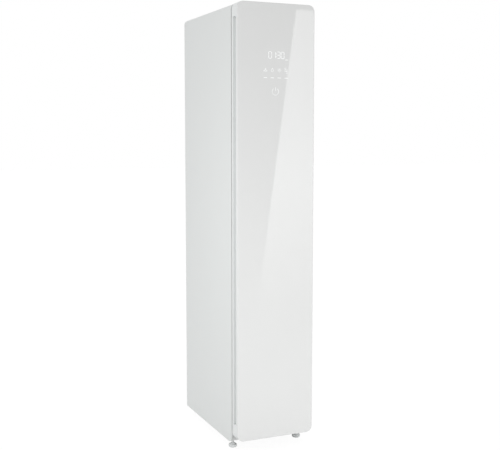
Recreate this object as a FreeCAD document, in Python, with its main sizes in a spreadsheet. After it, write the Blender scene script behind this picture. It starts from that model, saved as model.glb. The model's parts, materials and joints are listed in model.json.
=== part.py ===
import FreeCAD, Part
import math
import os
import re

import Sketcher
from FreeCAD import Placement, Rotation, Vector

# A tall, slim clothes care steam cabinet: a painted steel cabinet with an insulated
# chamber, a heat pump and steam unit below it, a drive that shakes the hanger bar above
# it, and a glass-fronted door hinged on the right.
# Frame: origin on the floor under the middle of the cabinet, +Z up, the door faces -Y.
# All lengths are millimetres, all angles degrees.

SIZES = {
    # the whole cabinet
    "width": 345,
    "depth": 630,
    "height": 1850,
    # painted steel case
    "top_drop": 4,            # the case is this much lower than the door
    "body_bottom": 30,        # height of the case's lower edge
    "wrap_corner": 20,        # outer radius of the case's top corners
    "toe_corner": 32,         # rounding of each side at the front, near the floor
    "sheet": 1.2,             # steel sheet of the case and rear panel
    "rear_step": 4,           # how far the rear panel lies inside the case's rear edge
    "pan_setback": 28,        # the base pan lies this far behind the case's front edge
    "pan_thick": 1.5,
    # insulated chamber
    "foam": 21,               # foam in each side wall
    "rear_foam": 28,
    "roof_foam": 28,
    "liner": 2.3,             # moulded plastic lining
    "frame_thick": 12,        # front frame that the door seals on
    "sill": 18,               # height of the frame's lower bar
    "floor_level": 430,
    "floor_thick": 5,
    "ceiling_drop": 150,      # from the top of the door down to the chamber's ceiling
    "ledge_rise": 90,         # from the chamber's floor to the top of the shelf's rails
    "ledge_width": 8,
    "ledge_height": 12,
    # door
    "door_thick": 58,
    "door_gap": 8,
    "door_bottom": 55,
    "door_corner": 27,
    "glass_thick": 4,
    "glass_edge": 1.5,        # rounding of the glass's front edge
    "rail_width": 30,
    "top_cap": 59,
    "bottom_cap": 66,
    "grip_front": 17,         # the finger groove starts this far behind the glass's face
    "grip_width": 28,
    "grip_depth": 16,
    "grip_round": 5,
    "door_skin": 3,           # inner lining of the door
    "plug_side": 8,           # room between the door's raised inner panel and the chamber
    "plug_depth": 32,         # how far that panel stands out of the door's rear face
    "plug_rise": 15,          # above the chamber's floor
    "plug_drop": 10,          # below its ceiling
    "board_width": 110,
    "board_height": 230,
    "board_drop": 160,        # below the door's top
    "board_thick": 1.6,
    "board_pocket": 10,
    "board_clear": 3,
    # door seal
    "seal_width": 12,
    "seal_margin": 2,         # from the edge of the frame's opening to the seal
    "seal_hollow": 3,
    # door hinge
    "hinge_inset": 10,        # axis from the door's right side
    "hinge_drop": 24,         # top bracket below the door's top
    "pin_radius": 3,
    "pin_clear": 0.05,        # running clearance, on the radius
    "pin_reach": 24,          # length of a pin inside its bush
    "bush_wall": 3,
    "flange_thick": 2,
    "bracket_thick": 4,
    "bracket_width": 14,
    "bracket_leg": 60,
    "bracket_clear": 3,       # room beside a bracket in the door's top
    "bracket_swing": 8,       # room ahead of it, which it swings through as the door opens
    "socket_clear": 1,        # room under that bracket, and past the end of each pin
    "hinge_screw_low": 12,    # from a bracket leg's lower end to its lower screw
    "hinge_screw_high": 22,   # from its upper end to its upper screw
    "seat_clear": 0.3,        # gap under a piece that rests on another body
    # trouser press on the door
    "press_rise": 330,        # above the chamber's floor
    "press_drop": 275,        # below the hanger bar
    "press_thick": 12,
    "press_gap": 4,           # between the press and the door's raised panel
    "press_margin": 10,       # the press ends this far inside the raised panel
    "press_lug": 15,          # height of a bracket that holds a press pin
    "press_edge": 5.4,
    # feet
    "foot_side": 22,          # front foot axis from the case's side
    "foot_inset": 60,         # rear foot axis from the case's side
    "foot_front": 108,        # front foot axis from the door's face
    "foot_rear": 35,          # rear foot axis from the case's rear edge
    "pad_radius": 17.5,
    "pad_thick": 12.5,
    "pad_chamfer": 1.5,
    "neck_radius": 11,
    "neck_height": 4,
    "stud_radius": 5,
    "stud_top": 75,
    "foot_bush_wall": 4,
    "foot_bush_height": 24,
    # water tanks in their bay
    "bay_depth": 150,
    "bay_front_wall": 30,
    "bay_side_wall": 5,
    "bay_rear_wall": 4,
    "bay_middle": 38,
    "bay_base": 45,           # from the sill to the wells' bottom
    "well_skin": 10,          # thickness of the wells' bottom
    "tank_clear": 1.5,
    "tank_wall": 2.5,
    "tank_height": 285,
    "tank_bar": 16,           # width and height of the carrying bar
    # air duct with heat exchangers and blower
    "duct_side": 21.3,        # from the case's left side
    "duct_beside": 52,        # from the compressor's axis
    "duct_gap": 5,            # behind the tank bay
    "duct_rear_gap": 25,
    "duct_bottom": 215,
    "duct_wall": 2.5,
    "coil_height": 180,
    "coil_thick": 45,
    "coil_margin": 8,         # coil to the duct's side walls
    "condenser_gap": 25,      # behind the blower
    "coil_gap": 15,
    "coil_end": 7,            # solid end beside the outermost slots between the fins
    "slot_width": 5,
    "slot_count": 18,
    "stub_radius": 7,
    "stub_reach": 8,          # a coil's stub stands this far out of the duct
    "suction_level": 340,
    "discharge_level": 290,
    "fan_gap": 19,            # from the duct's front
    "fan_radius": 50,
    "fan_height": 42,
    "fan_lift": 14,           # impeller above the duct's floor
    "fan_blades": 24,
    "fan_shaft": 3,
    "fan_motor_radius": 30,
    "fan_motor_height": 50,
    "vent_count": 9,
    "vent_pitch": 16,
    "vent_width": 7,
    "vent_length": 100,
    "shaft_clear": 3,         # round the blower's shaft where it passes the duct's floor
    "coil_rim": 6,            # solid rim above and below the fins
    "fan_plate": 3,
    "fan_hub": 12,            # hub radius at its foot
    "fan_hub_top": 9,         # hub radius at its top
    "fan_hub_height": 20,
    "fan_shaft_end": 24,      # the shaft ends this far above the impeller's underside
    "blade_depth": 12,
    "blade_thick": 1.6,
    "blade_inset": 1,         # the rim stands this far past the blades on both sides
    "motor_round": 5,
    # lint filter
    "filter_side": 22,        # from the duct's left side
    "filter_gap": 16.5,       # from the chamber's rear
    "filter_width": 116,
    "filter_length": 86,
    "filter_deep": 25,
    "filter_flange": 6,
    "filter_clear": 1,
    "filter_tab": 12,
    "mesh_count": 12,
    "mesh_pitch": 9,
    "mesh_width": 5,
    "filter_plate": 3,
    "filter_rim": 6,
    "tab_half": 20,
    "tab_thick": 4,
    # compressor
    "compressor_side": 59.3,  # axis from the case's right side
    "compressor_gap": 100,    # axis from the rear
    "compressor_radius": 48,
    "compressor_height": 162,
    "shell_foot": 8,          # the shell's bottom is this much smaller in radius
    "shell_foot_rise": 10,
    "shell_shoulder": 10,     # the shell's shoulder is this much smaller in radius
    "shell_crown": 30,        # radius of its flat top
    "shell_dome": 22,
    "shell_crown_rise": 8,
    "stub_gap": 20,           # between the two stubs
    "stub_root": 4,
    "stub_height": 8,
    "mount_height": 12,
    "mount_radius": 8,
    "mount_circle": 28,
    "pipe_radius": 5,
    "pipe_bend": 18,
    "pipe_lead": 22,          # a pipe turns towards its coil this far from the duct
    # steam and water
    "steamer_side": 11.3,     # from the case's right side
    "steamer_gap": 14,        # behind the tank bay
    "steamer_width": 80,
    "steamer_length": 100,
    "steamer_height": 118,
    "steam_inset": 40,        # steam pipe behind the generator's front
    "steam_radius": 6,
    "steam_bore": 4,
    "nozzle_top": 8,
    "steamer_round": 10,
    "steamer_edge": 4,
    "nozzle_radius": 12,
    "nozzle_height": 8,
    "pump_side": 31.3,        # from the case's left side
    "pump_gap": 39,           # behind the tank bay
    "pump_size": 60,
    "pump_height": 58,
    "pump_head_radius": 22,
    "pump_head_height": 20,
    "feed_reach": 100,        # from the pump forward to where the hose leaves the bay
    "hose_radius": 5,
    "hose_level": 60,
    # control box above the chamber
    "control_side": 10.3,     # from the foam on the left
    "control_gap": 12,        # behind the front frame
    "control_width": 80,
    "control_length": 115,
    "control_height": 60,
    # hanger drive
    "deck_thick": 2,
    "deck_margin": 5,
    "deck_front": 90,         # from the crank's axis forward to the deck's edge
    "deck_rear": 60,          # from the motor's axis back to the deck's edge
    "post_wall": 4,
    "crank_y": 30,
    "crank_radius": 40,
    "crank_throw": 20,
    "crank_pin": 4,
    "crank_slack": 0.8,       # pin to the side of the yoke's slot
    "pin_root": 2,
    "slot_reach": 6,          # how far the pin moves across the yoke's slot
    "axle_radius": 5,
    "motor_axle": 4,
    "motor_boss": 8,
    "motor_gap": 120,         # between the two pulleys' axes
    "motor_radius": 30,
    "motor_height": 36,
    "motor_pulley": 14,
    "pulley_rise": 41.7,      # above the chamber's lining
    "pulley_thick": 10,
    "groove_depth": 3,
    "belt_thick": 1.5,
    "belt_width": 6,
    "belt_clear": 0.3,
    "yoke_gap": 1.5,
    "yoke_thick": 6,
    "yoke_width": 40,
    "yoke_ahead": 30,         # from the crank's axis forward to the yoke's edge
    "arm_inset": 18,          # from the end of the hanger bar
    "arm_width": 14,
    "arm_thick": 8,
    "arm_clear": 2,
    "stroke": 14.2,
    "bar_drop": 45,           # below the ceiling
    "bar_radius": 9,
    "bar_end": 30,            # from each end to the chamber's side
    "guide_width": 14,
    "guide_wall": 5,
    "guide_clear": 3,
    # hangers
    "hanger_pitch": 90,
    "hook_wire": 2.2,
    "shoulder_half": 205,
    "shoulder_drop": 150,
    "shoulder_rib": 24,
    "hanger_thick": 24,
    "neck_length": 60,
    "hanger_crown": 14,       # half the length of the shoulders' top
    "crown_depth": 28.8,      # from that top down to the notch under it
    "hanger_round": 5,
    "hook_root": 6,
    "hook_bend": 9.2,
    # shelf
    "shelf_gap": 19,          # behind the tank bay
    "shelf_thick": 8,
    "shelf_clear": 2,
    "shelf_slots": 14,
    "shelf_end": 17.5,
    "shelf_slot": 10,
    "shelf_rim": 25,
    # small pieces
    "lamp_radius": 20,
    "lamp_thick": 8,
    "lamp_gap": 87,           # behind the front frame
    "screw_radius": 2,
    "head_radius": 4,
    "head_thick": 2,
    "screw_length": 8,
    "rear_rows": 5,           # rear screws on each side
    "rear_screw_end": 145,    # from the case's lower edge to the lowest of them
    "rear_screw_top": 73,     # from the highest of them to the case's top
    "rear_screw_inset": 10,
    "cover_screw_inset": 15,
    "cover_margin": 10,
    "cover_side": 41.3,       # from the case's side to the service opening
    "cover_bottom": 80,
    "cover_top": 400,
    "louvre_count": 12,
    "louvre_pitch": 22,
    "louvre_width": 6,
    "louvre_start": 35,
    "louvre_inset": 25,
    "gland_radius": 9,
    "gland_bore": 4,
    "gland_flange": 2,
    "gland_lip": 3,
    "gland_length": 8,
    "gland_inset": 15,
    "gland_level": 90,
}

# Places worked out from the sizes above, written in the same plain names.
PLACES = {
    "half": "width / 2",
    "door_front": "-depth / 2",
    "back": "depth / 2",
    "glass_back": "door_front + glass_thick",
    "door_back": "door_front + door_thick",
    "body_front": "door_back + door_gap",
    "body_top": "height - top_drop",
    "inside": "half - sheet",
    "roof_under": "body_top - sheet",
    "rear_inner": "back - rear_step - sheet",
    "rear_outer": "back - rear_step",
    "frame_back": "body_front + frame_thick",
    "frame_bottom": "body_bottom + toe_corner",
    "ceiling_level": "height - ceiling_drop",
    "ledge_level": "floor_level + ledge_rise",
    "opening_bottom": "frame_bottom + sill",
    "liner_side": "inside - foam",
    "cavity_side": "liner_side - liner",
    "liner_rear": "rear_inner - rear_foam",
    "cavity_rear": "liner_rear - liner",
    "liner_top": "ceiling_level + liner",
    "foam_top": "roof_under - roof_foam",
    "floor_under": "floor_level - floor_thick",
    "pan_front": "body_front + pan_setback",
    "pan_top": "body_bottom + pan_thick",
    "rail_inner": "half - rail_width",
    "cap_top_edge": "height - top_cap",
    "cap_bottom_edge": "door_bottom + bottom_cap",
    "core_back": "door_back - door_skin",
    "plug_half": "cavity_side - plug_side",
    "plug_bottom": "floor_level + plug_rise",
    "plug_top": "ceiling_level - plug_drop",
    "board_top": "height - board_drop",
    "plug_back": "door_back + plug_depth",
    "hinge_x": "half - hinge_inset",
    "hinge_y": "door_front + door_thick / 2",
    "bracket_top": "height - hinge_drop",
    "bracket_under": "bracket_top - bracket_thick",
    "socket_top": "bracket_under - socket_clear",
    "socket_bottom": "socket_top - pin_reach",
    "low_bracket_top": "door_bottom - flange_thick - seat_clear",
    "low_bracket_under": "low_bracket_top - bracket_thick",
    "bush_radius": "pin_radius + pin_clear + bush_wall",
    "bore_radius": "pin_radius + pin_clear",
    "press_round": "press_thick / 2",
    "press_bottom": "floor_level + press_rise",
    "press_top": "bar_level - press_drop",
    "press_y": "plug_back + press_gap + press_round",
    "press_x": "plug_half - press_margin",
    "foot_front_x": "half - foot_side",
    "foot_rear_x": "half - foot_inset",
    "foot_front_y": "door_front + foot_front",
    "foot_rear_y": "back - foot_rear",
    "bay_rear": "body_front + bay_depth",
    "well_front": "body_front + bay_front_wall",
    "well_rear": "bay_rear - bay_rear_wall",
    "well_bottom": "opening_bottom + bay_base",
    "well_outer": "cavity_side - bay_side_wall",
    "well_inner": "bay_middle / 2",
    "tank_bottom": "well_bottom + seat_clear",
    "tank_top": "tank_bottom + tank_height",
    "tank_front": "well_front + tank_clear",
    "tank_rear": "well_rear - tank_clear",
    "tank_outer": "well_outer - tank_clear",
    "tank_inner": "well_inner + tank_clear",
    "compressor_x": "inside - compressor_side",
    "compressor_y": "back - compressor_gap",
    "duct_left": "duct_side - inside",
    "duct_right": "compressor_x - duct_beside",
    "duct_front": "bay_rear + duct_gap",
    "duct_rear": "back - duct_rear_gap",
    "duct_floor": "duct_bottom + duct_wall",
    "fan_x": "(duct_left + duct_right) / 2",
    "fan_y": "duct_front + fan_gap + fan_radius",
    "condenser_front": "fan_y + fan_radius + condenser_gap",
    "evaporator_front": "condenser_front + coil_thick + coil_gap",
    "coil_left": "duct_left + duct_wall + coil_margin",
    "coil_right": "duct_right - duct_wall - coil_margin",
    "slot_pitch": "(coil_right - coil_left - slot_width - 2 * coil_end) / (slot_count - 1)",
    "filter_left": "duct_left + filter_side",
    "filter_right": "filter_left + filter_width",
    "filter_rear": "cavity_rear - filter_gap",
    "filter_front": "filter_rear - filter_length",
    "fan_bottom": "duct_floor + fan_lift",
    "compressor_bottom": "pan_top + mount_height",
    "compressor_top": "compressor_bottom + compressor_height",
    "steamer_right": "inside - steamer_side",
    "steamer_left": "steamer_right - steamer_width",
    "steamer_front": "bay_rear + steamer_gap",
    "steamer_rear": "steamer_front + steamer_length",
    "steam_x": "(steamer_left + steamer_right) / 2",
    "steam_y": "steamer_front + steam_inset",
    "pump_left": "pump_side - inside",
    "pump_right": "pump_left + pump_size",
    "pump_front": "bay_rear + pump_gap",
    "pump_rear": "pump_front + pump_size",
    "control_left": "control_side - liner_side",
    "control_right": "control_left + control_width",
    "control_front": "frame_back + control_gap",
    "control_rear": "control_front + control_length",
    "bar_level": "ceiling_level - bar_drop",
    "bar_half": "cavity_side - bar_end",
    "arm_x": "bar_half - arm_inset",
    "motor_y": "crank_y + motor_gap",
    "deck_top": "liner_top + deck_thick",
    "pulley_level": "liner_top + pulley_rise",
    "pulley_top": "pulley_level + pulley_thick",
    "yoke_bottom": "pulley_top + yoke_gap",
    "yoke_top": "yoke_bottom + yoke_thick",
    "yoke_front": "crank_y - yoke_ahead",
    "yoke_rear": "yoke_front + yoke_width",
    "belt_gap": "(pulley_thick - belt_width) / 2",
    "hook_radius": "bar_radius + seat_clear + hook_wire",
    "shelf_under": "ledge_level + seat_clear",
    "shelf_front": "bay_rear + shelf_gap",
    "shelf_half": "cavity_side - shelf_clear",
    "shelf_pitch": "(2 * (shelf_half - shelf_end) - shelf_slot) / (shelf_slots - 1)",
    "lamp_y": "frame_back + lamp_gap",
    "cover_half": "inside - cover_side",
}

TOUCH = 0.001                 # two places closer than this are the same place
FULL_TURN = 360
CM3 = 1000                    # cubic millimetres in a cubic centimetre
AXES = {"x": Vector(1, 0, 0), "y": Vector(0, 1, 0), "z": Vector(0, 0, 1)}
PLANES = {"x": "YZ_Plane", "y": "XZ_Plane", "z": "XY_Plane"}
TURNS = {"x": Rotation(AXES["y"], 90), "y": Rotation(AXES["x"], -90), "z": Rotation()}
SIDES = (("left", -1), ("right", 1))
HOOK_STARTS = 200             # angles round the bar, from the rear, where the hook's wire
HOOK_LEAVES = -30             # starts and where it leaves for the neck

DOC = FreeCAD.newDocument("steam_cabinet")
SHEET = DOC.addObject("Spreadsheet::Sheet", "Sizes")
NODES = []


# --- sizes, formulas and the simplest solids ---------------------------------------------

def fill_sheet():
    """Write every driving size into the spreadsheet, each with its name as the alias."""
    for row, (alias, number) in enumerate(SIZES.items(), 1):
        SHEET.set(f"A{row}", alias)
        SHEET.set(f"B{row}", str(number))
        SHEET.setAlias(f"B{row}", alias)
    DOC.recompute()


def formula(words):
    """Turn plain names into references to the spreadsheet's cells."""
    def cell(match):
        word = match.group(0)
        if word in PLACES:
            return "(" + formula(PLACES[word]) + ")"
        return "Sizes." + word if word in SIZES else word
    return re.sub(r"[a-z][a-z_]*", cell, words)


def measure(words):
    """The number that a formula gives now."""
    return float(SHEET.evalExpression(formula(words)))


def name_node(thing, name):
    """Give a finished sub-part its name and put it on the list of pieces."""
    thing.Label = name
    NODES.append(thing)
    return thing


def box(name, x, y, z):
    """A block between a low and a high place on each axis."""
    thing = DOC.addObject("Part::Box", name)
    for axis, side, (low, high) in zip("xyz", ("Length", "Width", "Height"), (x, y, z)):
        thing.setExpression(side, formula(f"({high}) - ({low})"))
        thing.setExpression("Placement.Base." + axis, formula(low))
    return thing


def rod(name, axis, centre, radius, low, high):
    """A round bar along one axis; centre gives its places on the other two."""
    thing = DOC.addObject("Part::Cylinder", name)
    thing.Placement = Placement(Vector(), TURNS[axis])
    thing.setExpression("Radius", formula(radius))
    thing.setExpression("Height", formula(f"({high}) - ({low})"))
    others = iter(centre)
    for letter in "xyz":
        place = low if letter == axis else next(others)
        thing.setExpression("Placement.Base." + letter, formula(place))
    return thing


def join(name, *parts):
    """Several solids made one."""
    thing = DOC.addObject("Part::MultiFuse", name)
    thing.Shapes = list(parts)
    thing.Refine = True
    return thing


def group(name, *parts):
    """Several solids that stay apart but are kept together."""
    thing = DOC.addObject("Part::Compound", name)
    thing.Links = list(parts)
    return thing


def cut(name, base, *tools):
    """One solid less one or more others."""
    thing = DOC.addObject("Part::Cut", name)
    thing.Base = base
    thing.Tool = tools[0] if len(tools) == 1 else group(name + "_cutters", *tools)
    return thing


# --- sketched bodies ---------------------------------------------------------------------

def rect(left, right, low, high):
    """A rectangle's corners."""
    return [(left, low), (right, low), (right, high), (left, high)]


def disc(across, up, radius):
    """A circle's centre and radius."""
    return (across, up, radius)


def body(name):
    """An empty PartDesign body."""
    return DOC.addObject("PartDesign::Body", name)


def sketch(owner, axis, place, shift="0"):
    """A sketch square to an axis, at one place along it."""
    drawing = owner.newObject("Sketcher::SketchObject", "Sketch")
    plane = next(p for p in owner.Origin.OriginFeatures if p.Role == PLANES[axis])
    drawing.AttachmentSupport = [(plane, "")]
    drawing.MapMode = "FlatFace"
    sign = "-" if axis == "y" else ""
    drawing.setExpression("AttachmentOffset.Base.z", formula(f"{sign}({place})"))
    drawing.setExpression("AttachmentOffset.Base.x", formula(shift))
    return drawing


def pin_point(drawing, line, point, across, up):
    """Hold one point of a sketch at its two distances from the sketch's origin."""
    for kind, words in (("DistanceX", across), ("DistanceY", up)):
        rule = Sketcher.Constraint(kind, -1, 1, line, point, measure(words))
        number = drawing.addConstraint(rule)
        drawing.setExpression(f"Constraints[{number}]", formula(words))


def draw(drawing, outline):
    """Draw a polygon, given as a list of corners, or a circle."""
    first = drawing.GeometryCount
    if isinstance(outline, tuple):
        across, up, radius = outline
        centre = Vector(measure(across), measure(up), 0)
        drawing.addGeometry(Part.Circle(centre, AXES["z"], measure(radius)), False)
        pin_point(drawing, first, 3, across, up)
        rule = Sketcher.Constraint("Radius", first, measure(radius))
        number = drawing.addConstraint(rule)
        drawing.setExpression(f"Constraints[{number}]", formula(radius))
        return
    spots = [Vector(measure(across), measure(up), 0) for across, up in outline]
    for start, end in zip(spots, spots[1:] + spots[:1]):
        drawing.addGeometry(Part.LineSegment(start, end), False)
    for number, (across, up) in enumerate(outline):
        before = first + (number - 1) % len(outline)
        drawing.addConstraint(Sketcher.Constraint("Coincident", before, 2, first + number, 1))
        pin_point(drawing, first + number, 1, across, up)


def add(owner, axis, low, high, *outlines):
    """Pad outlines from a low to a high place along an axis."""
    drawing = sketch(owner, axis, high if axis == "y" else low)
    for outline in outlines:
        draw(drawing, outline)
    feature = owner.newObject("PartDesign::Pad", "Pad")
    feature.Profile = drawing
    feature.setExpression("Length", formula(f"({high}) - ({low})"))
    return feature


def take(owner, axis, low, high, *outlines):
    """Pocket outlines out of the body between two places along an axis."""
    drawing = sketch(owner, axis, low if axis == "y" else high)
    for outline in outlines:
        draw(drawing, outline)
    feature = owner.newObject("PartDesign::Pocket", "Pocket")
    feature.Profile = drawing
    feature.setExpression("Length", formula(f"({high}) - ({low})"))
    return feature


def turn(owner, centre, profile, kind="Revolution"):
    """Turn a profile of (radius, height) points about an upright axis."""
    drawing = sketch(owner, "y", centre[1], centre[0])
    draw(drawing, profile)
    feature = owner.newObject("PartDesign::" + kind, kind)
    feature.Profile = drawing
    feature.ReferenceAxis = (drawing, ["V_Axis"])
    feature.Angle = FULL_TURN
    return feature


def repeat(owner, feature, direction, count, pitch):
    """Copy a feature in a row along its sketch's H_Axis or V_Axis."""
    pattern = owner.newObject("PartDesign::LinearPattern", "LinearPattern")
    pattern.Originals = [feature]
    pattern.Direction = (feature.Profile[0], [direction])
    pattern.setExpression("Length", formula(f"({count} - 1) * {pitch}"))
    pattern.setExpression("Occurrences", formula(count))
    owner.Tip = pattern
    return pattern


def soften(owner, radius, wanted, kind="Fillet"):
    """Round or chamfer the edges that the test picks."""
    DOC.recompute()
    tip = owner.Tip
    edges = [f"Edge{n}" for n, edge in enumerate(tip.Shape.Edges, 1) if wanted(edge)]
    feature = owner.newObject("PartDesign::" + kind, kind)
    feature.Base = (tip, edges)
    feature.setExpression("Radius" if kind == "Fillet" else "Size", formula(radius))
    return feature


def along(axis, **places):
    """A test for straight edges along an axis whose middle lies at the places named."""
    def wanted(edge):
        if edge.Curve.TypeId != "Part::GeomLine":
            return False
        run = edge.Vertexes[-1].Point - edge.Vertexes[0].Point
        if run.getAngle(AXES[axis]) % math.pi > TOUCH and \
                math.pi - run.getAngle(AXES[axis]) > TOUCH:
            return False
        for letter, options in places.items():
            here = getattr(edge.CenterOfMass, letter)
            if not any(abs(here - measure(words)) < TOUCH for words in options):
                return False
        return True
    return wanted


def on_plane(axis, place):
    """A test for edges that lie wholly at one place along an axis."""
    def wanted(edge):
        ends = edge.BoundBox
        low = getattr(ends, axis.upper() + "Min")
        high = getattr(ends, axis.upper() + "Max")
        return max(abs(low - measure(place)), abs(high - measure(place))) < TOUCH
    return wanted


def bent_tube(name, radius, bend, corners):
    """A round tube on straight runs joined by tangent arcs of one bend radius."""
    spots = [Vector(*(measure(words) for words in corner)) for corner in corners]
    reach = measure(bend)
    edges = []
    start = spots[0]
    for before, here, after in zip(spots, spots[1:], spots[2:]):
        came = (here - before).normalize()
        goes = (after - here).normalize()
        tangent = reach * math.tan(came.getAngle(goes) / 2)
        first = here - came * tangent
        last = here + goes * tangent
        inward = (goes - came).normalize()
        to_centre = reach / math.cos(came.getAngle(goes) / 2)
        middle = here + inward * (to_centre - reach)
        edges.append(Part.LineSegment(start, first).toShape())
        edges.append(Part.Arc(first, middle, last).toShape())
        start = last
    edges.append(Part.LineSegment(start, spots[-1]).toShape())
    section = Part.Wire(Part.Circle(spots[0], spots[1] - spots[0], measure(radius)).toShape())
    thing = DOC.addObject("Part::Feature", name)
    thing.Shape = Part.Wire(edges).makePipeShell([section], True, True)
    return thing


# --- screws ------------------------------------------------------------------------------

def screw(name, x, z, seat):
    """A pan-head screw that enters along +Y or -Y, with its head on the seat."""
    into, out = ("+", "-") if seat.startswith("body_front") else ("-", "+")
    head = sorted((f"{seat} {out} head_thick", seat), key=measure)
    shank = sorted((seat, f"{seat} {into} screw_length"), key=measure)
    return join(name, rod(name + "_head", "y", (x, z), "head_radius", *head),
                rod(name + "_shank", "y", (x, z), "screw_radius", *shank))


def rear_screw_places():
    """Where the rear panel's screws go, each as its x and z."""
    low = "body_bottom + rear_screw_end"
    step = f"(body_top - rear_screw_top - ({low})) / (rear_rows - 1)"
    return [(f"{sign} * (inside - rear_screw_inset)", f"{low} + {row} * {step}")
            for sign in (-1, 1) for row in range(round(measure("rear_rows")))]


def cover_screw_places():
    """Where the service cover's screws go."""
    levels = ("cover_bottom + cover_screw_inset", "cover_top - cover_screw_inset")
    return [(f"{sign} * (cover_half + cover_margin / 2)", level)
            for sign in (-1, 1) for level in levels]


def hinge_screw_places(low_z, high_z):
    """Where a hinge bracket's two screws go."""
    return [("hinge_x", f"{low_z} + hinge_screw_low"),
            ("hinge_x", f"{high_z} - hinge_screw_high")]


def screw_holes(name, places, low, high):
    """Clear holes, one for each screw, between two places along Y."""
    return [rod(f"{name}_hole{n}", "y", place, "screw_radius", low, high)
            for n, place in enumerate(places)]


# --- painted case ------------------------------------------------------------------------

def make_cabinet_wrap():
    """Two sides and top, bent from one painted sheet, with rounded toes at the front."""
    wrap = body("cabinet_wrap")
    add(wrap, "y", "body_front", "back", [
        ("-half", "body_bottom"), ("-half", "body_top"), ("half", "body_top"),
        ("half", "body_bottom"), ("inside", "body_bottom"), ("inside", "roof_under"),
        ("-inside", "roof_under"), ("-inside", "body_bottom")])
    soften(wrap, "wrap_corner", along("y", x=("half", "-half"), z=("body_top",)))
    soften(wrap, "wrap_corner - sheet", along("y", x=("inside", "-inside"), z=("roof_under",)))
    soften(wrap, "toe_corner", along("x", y=("body_front",), z=("body_bottom",)))
    name_node(wrap, "cabinet_wrap")


def make_rear_panel():
    """Steel rear panel with an opening for service."""
    panel = body("rear_panel")
    add(panel, "y", "rear_inner", "rear_outer",
        rect("-inside", "inside", "body_bottom", "roof_under"))
    soften(panel, "wrap_corner - sheet", along("y", x=("inside", "-inside"), z=("roof_under",)))
    take(panel, "y", "rear_inner", "rear_outer",
         rect("-cover_half", "cover_half", "cover_bottom", "cover_top"),
         disc("inside - gland_inset", "gland_level", "gland_radius"),
         *(disc(x, z, "screw_radius") for x, z in rear_screw_places() + cover_screw_places()))
    name_node(panel, "rear_panel")


def make_service_cover():
    """Louvred cover over the service opening."""
    cover = body("service_cover")
    add(cover, "y", "rear_outer", "rear_outer + sheet",
        rect("-cover_half - cover_margin", "cover_half + cover_margin",
             "cover_bottom - cover_margin", "cover_top + cover_margin"))
    take(cover, "y", "rear_outer", "rear_outer + sheet",
         *(disc(x, z, "screw_radius") for x, z in cover_screw_places()))
    slot = take(cover, "y", "rear_outer", "rear_outer + sheet",
                rect("louvre_inset - cover_half", "cover_half - louvre_inset",
                     "cover_bottom + louvre_start", "cover_bottom + louvre_start + louvre_width"))
    repeat(cover, slot, "V_Axis", "louvre_count", "louvre_pitch")
    name_node(cover, "service_cover")


def make_base_pan():
    """Folded steel pan that closes the bottom and carries the feet and machinery."""
    pan = body("base_pan")
    add(pan, "z", "body_bottom", "frame_bottom",
        rect("-inside", "inside", "pan_front", "rear_inner"))
    take(pan, "z", "pan_top", "frame_bottom",
         rect("pan_thick - inside", "inside - pan_thick",
              "pan_front + pan_thick", "rear_inner - pan_thick"))
    take(pan, "z", "body_bottom", "pan_top",
         *(disc(x, y, "stud_radius + seat_clear") for _, x, y in foot_places()))
    name_node(pan, "base_pan")


def foot_places():
    """Name and centre of each of the four feet."""
    return [(f"{depth}_{side}_foot", f"{sign} * foot_{depth}_x", f"foot_{depth}_y")
            for depth in ("front", "rear") for side, sign in SIDES]


def make_feet():
    """Four levelling feet, each a pad with a neck on a threaded stud."""
    for name, x, y in foot_places():
        foot = body(name)
        turn(foot, (x, y), [
            ("0", "0"), ("pad_radius - pad_chamfer", "0"), ("pad_radius", "pad_chamfer"),
            ("pad_radius", "pad_thick - pad_chamfer"),
            ("pad_radius - pad_chamfer", "pad_thick"), ("neck_radius", "pad_thick"),
            ("neck_radius", "pad_thick + neck_height"),
            ("stud_radius", "pad_thick + neck_height"), ("stud_radius", "stud_top"),
            ("0", "stud_top")])
        name_node(foot, name)


def make_foot_bushes():
    """Threaded bushes welded into the pan, one for each foot's stud."""
    bushes = []
    for name, x, y in foot_places():
        outer = rod(name + "_bush", "z", (x, y), "stud_radius + foot_bush_wall",
                    "pan_top", "pan_top + foot_bush_height")
        bore = rod(name + "_bore", "z", (x, y), "stud_radius + pin_clear",
                   "pan_top", "pan_top + foot_bush_height")
        bushes.append(cut(name + "_sleeve", outer, bore))
    name_node(group("foot_bushes", *bushes), "foot_bushes")


def make_front_frame():
    """Moulded frame round the chamber's mouth; the door seals on it."""
    frame = body("front_frame")
    add(frame, "y", "body_front", "frame_back",
        rect("-inside", "inside", "frame_bottom", "roof_under"))
    soften(frame, "wrap_corner - sheet", along("y", x=("inside", "-inside"), z=("roof_under",)))
    take(frame, "y", "body_front", "frame_back",
         rect("-cavity_side", "cavity_side", "opening_bottom", "ceiling_level"))
    for low, high in (("bracket_top - bracket_leg", "bracket_top"),
                      ("frame_bottom", "low_bracket_under + bracket_leg")):
        take(frame, "y", "body_front", "body_front + bracket_thick",
             rect("hinge_x - bracket_width / 2", "hinge_x + bracket_width / 2", low, high))
    take(frame, "y", "body_front", "frame_back",
         *(disc(x, z, "screw_radius") for x, z in all_hinge_screws()))
    name_node(frame, "front_frame")


def all_hinge_screws():
    """The four hinge screws' places."""
    return (hinge_screw_places("bracket_top - bracket_leg", "bracket_top")
            + hinge_screw_places("frame_bottom", "low_bracket_under + bracket_leg"))


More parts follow.
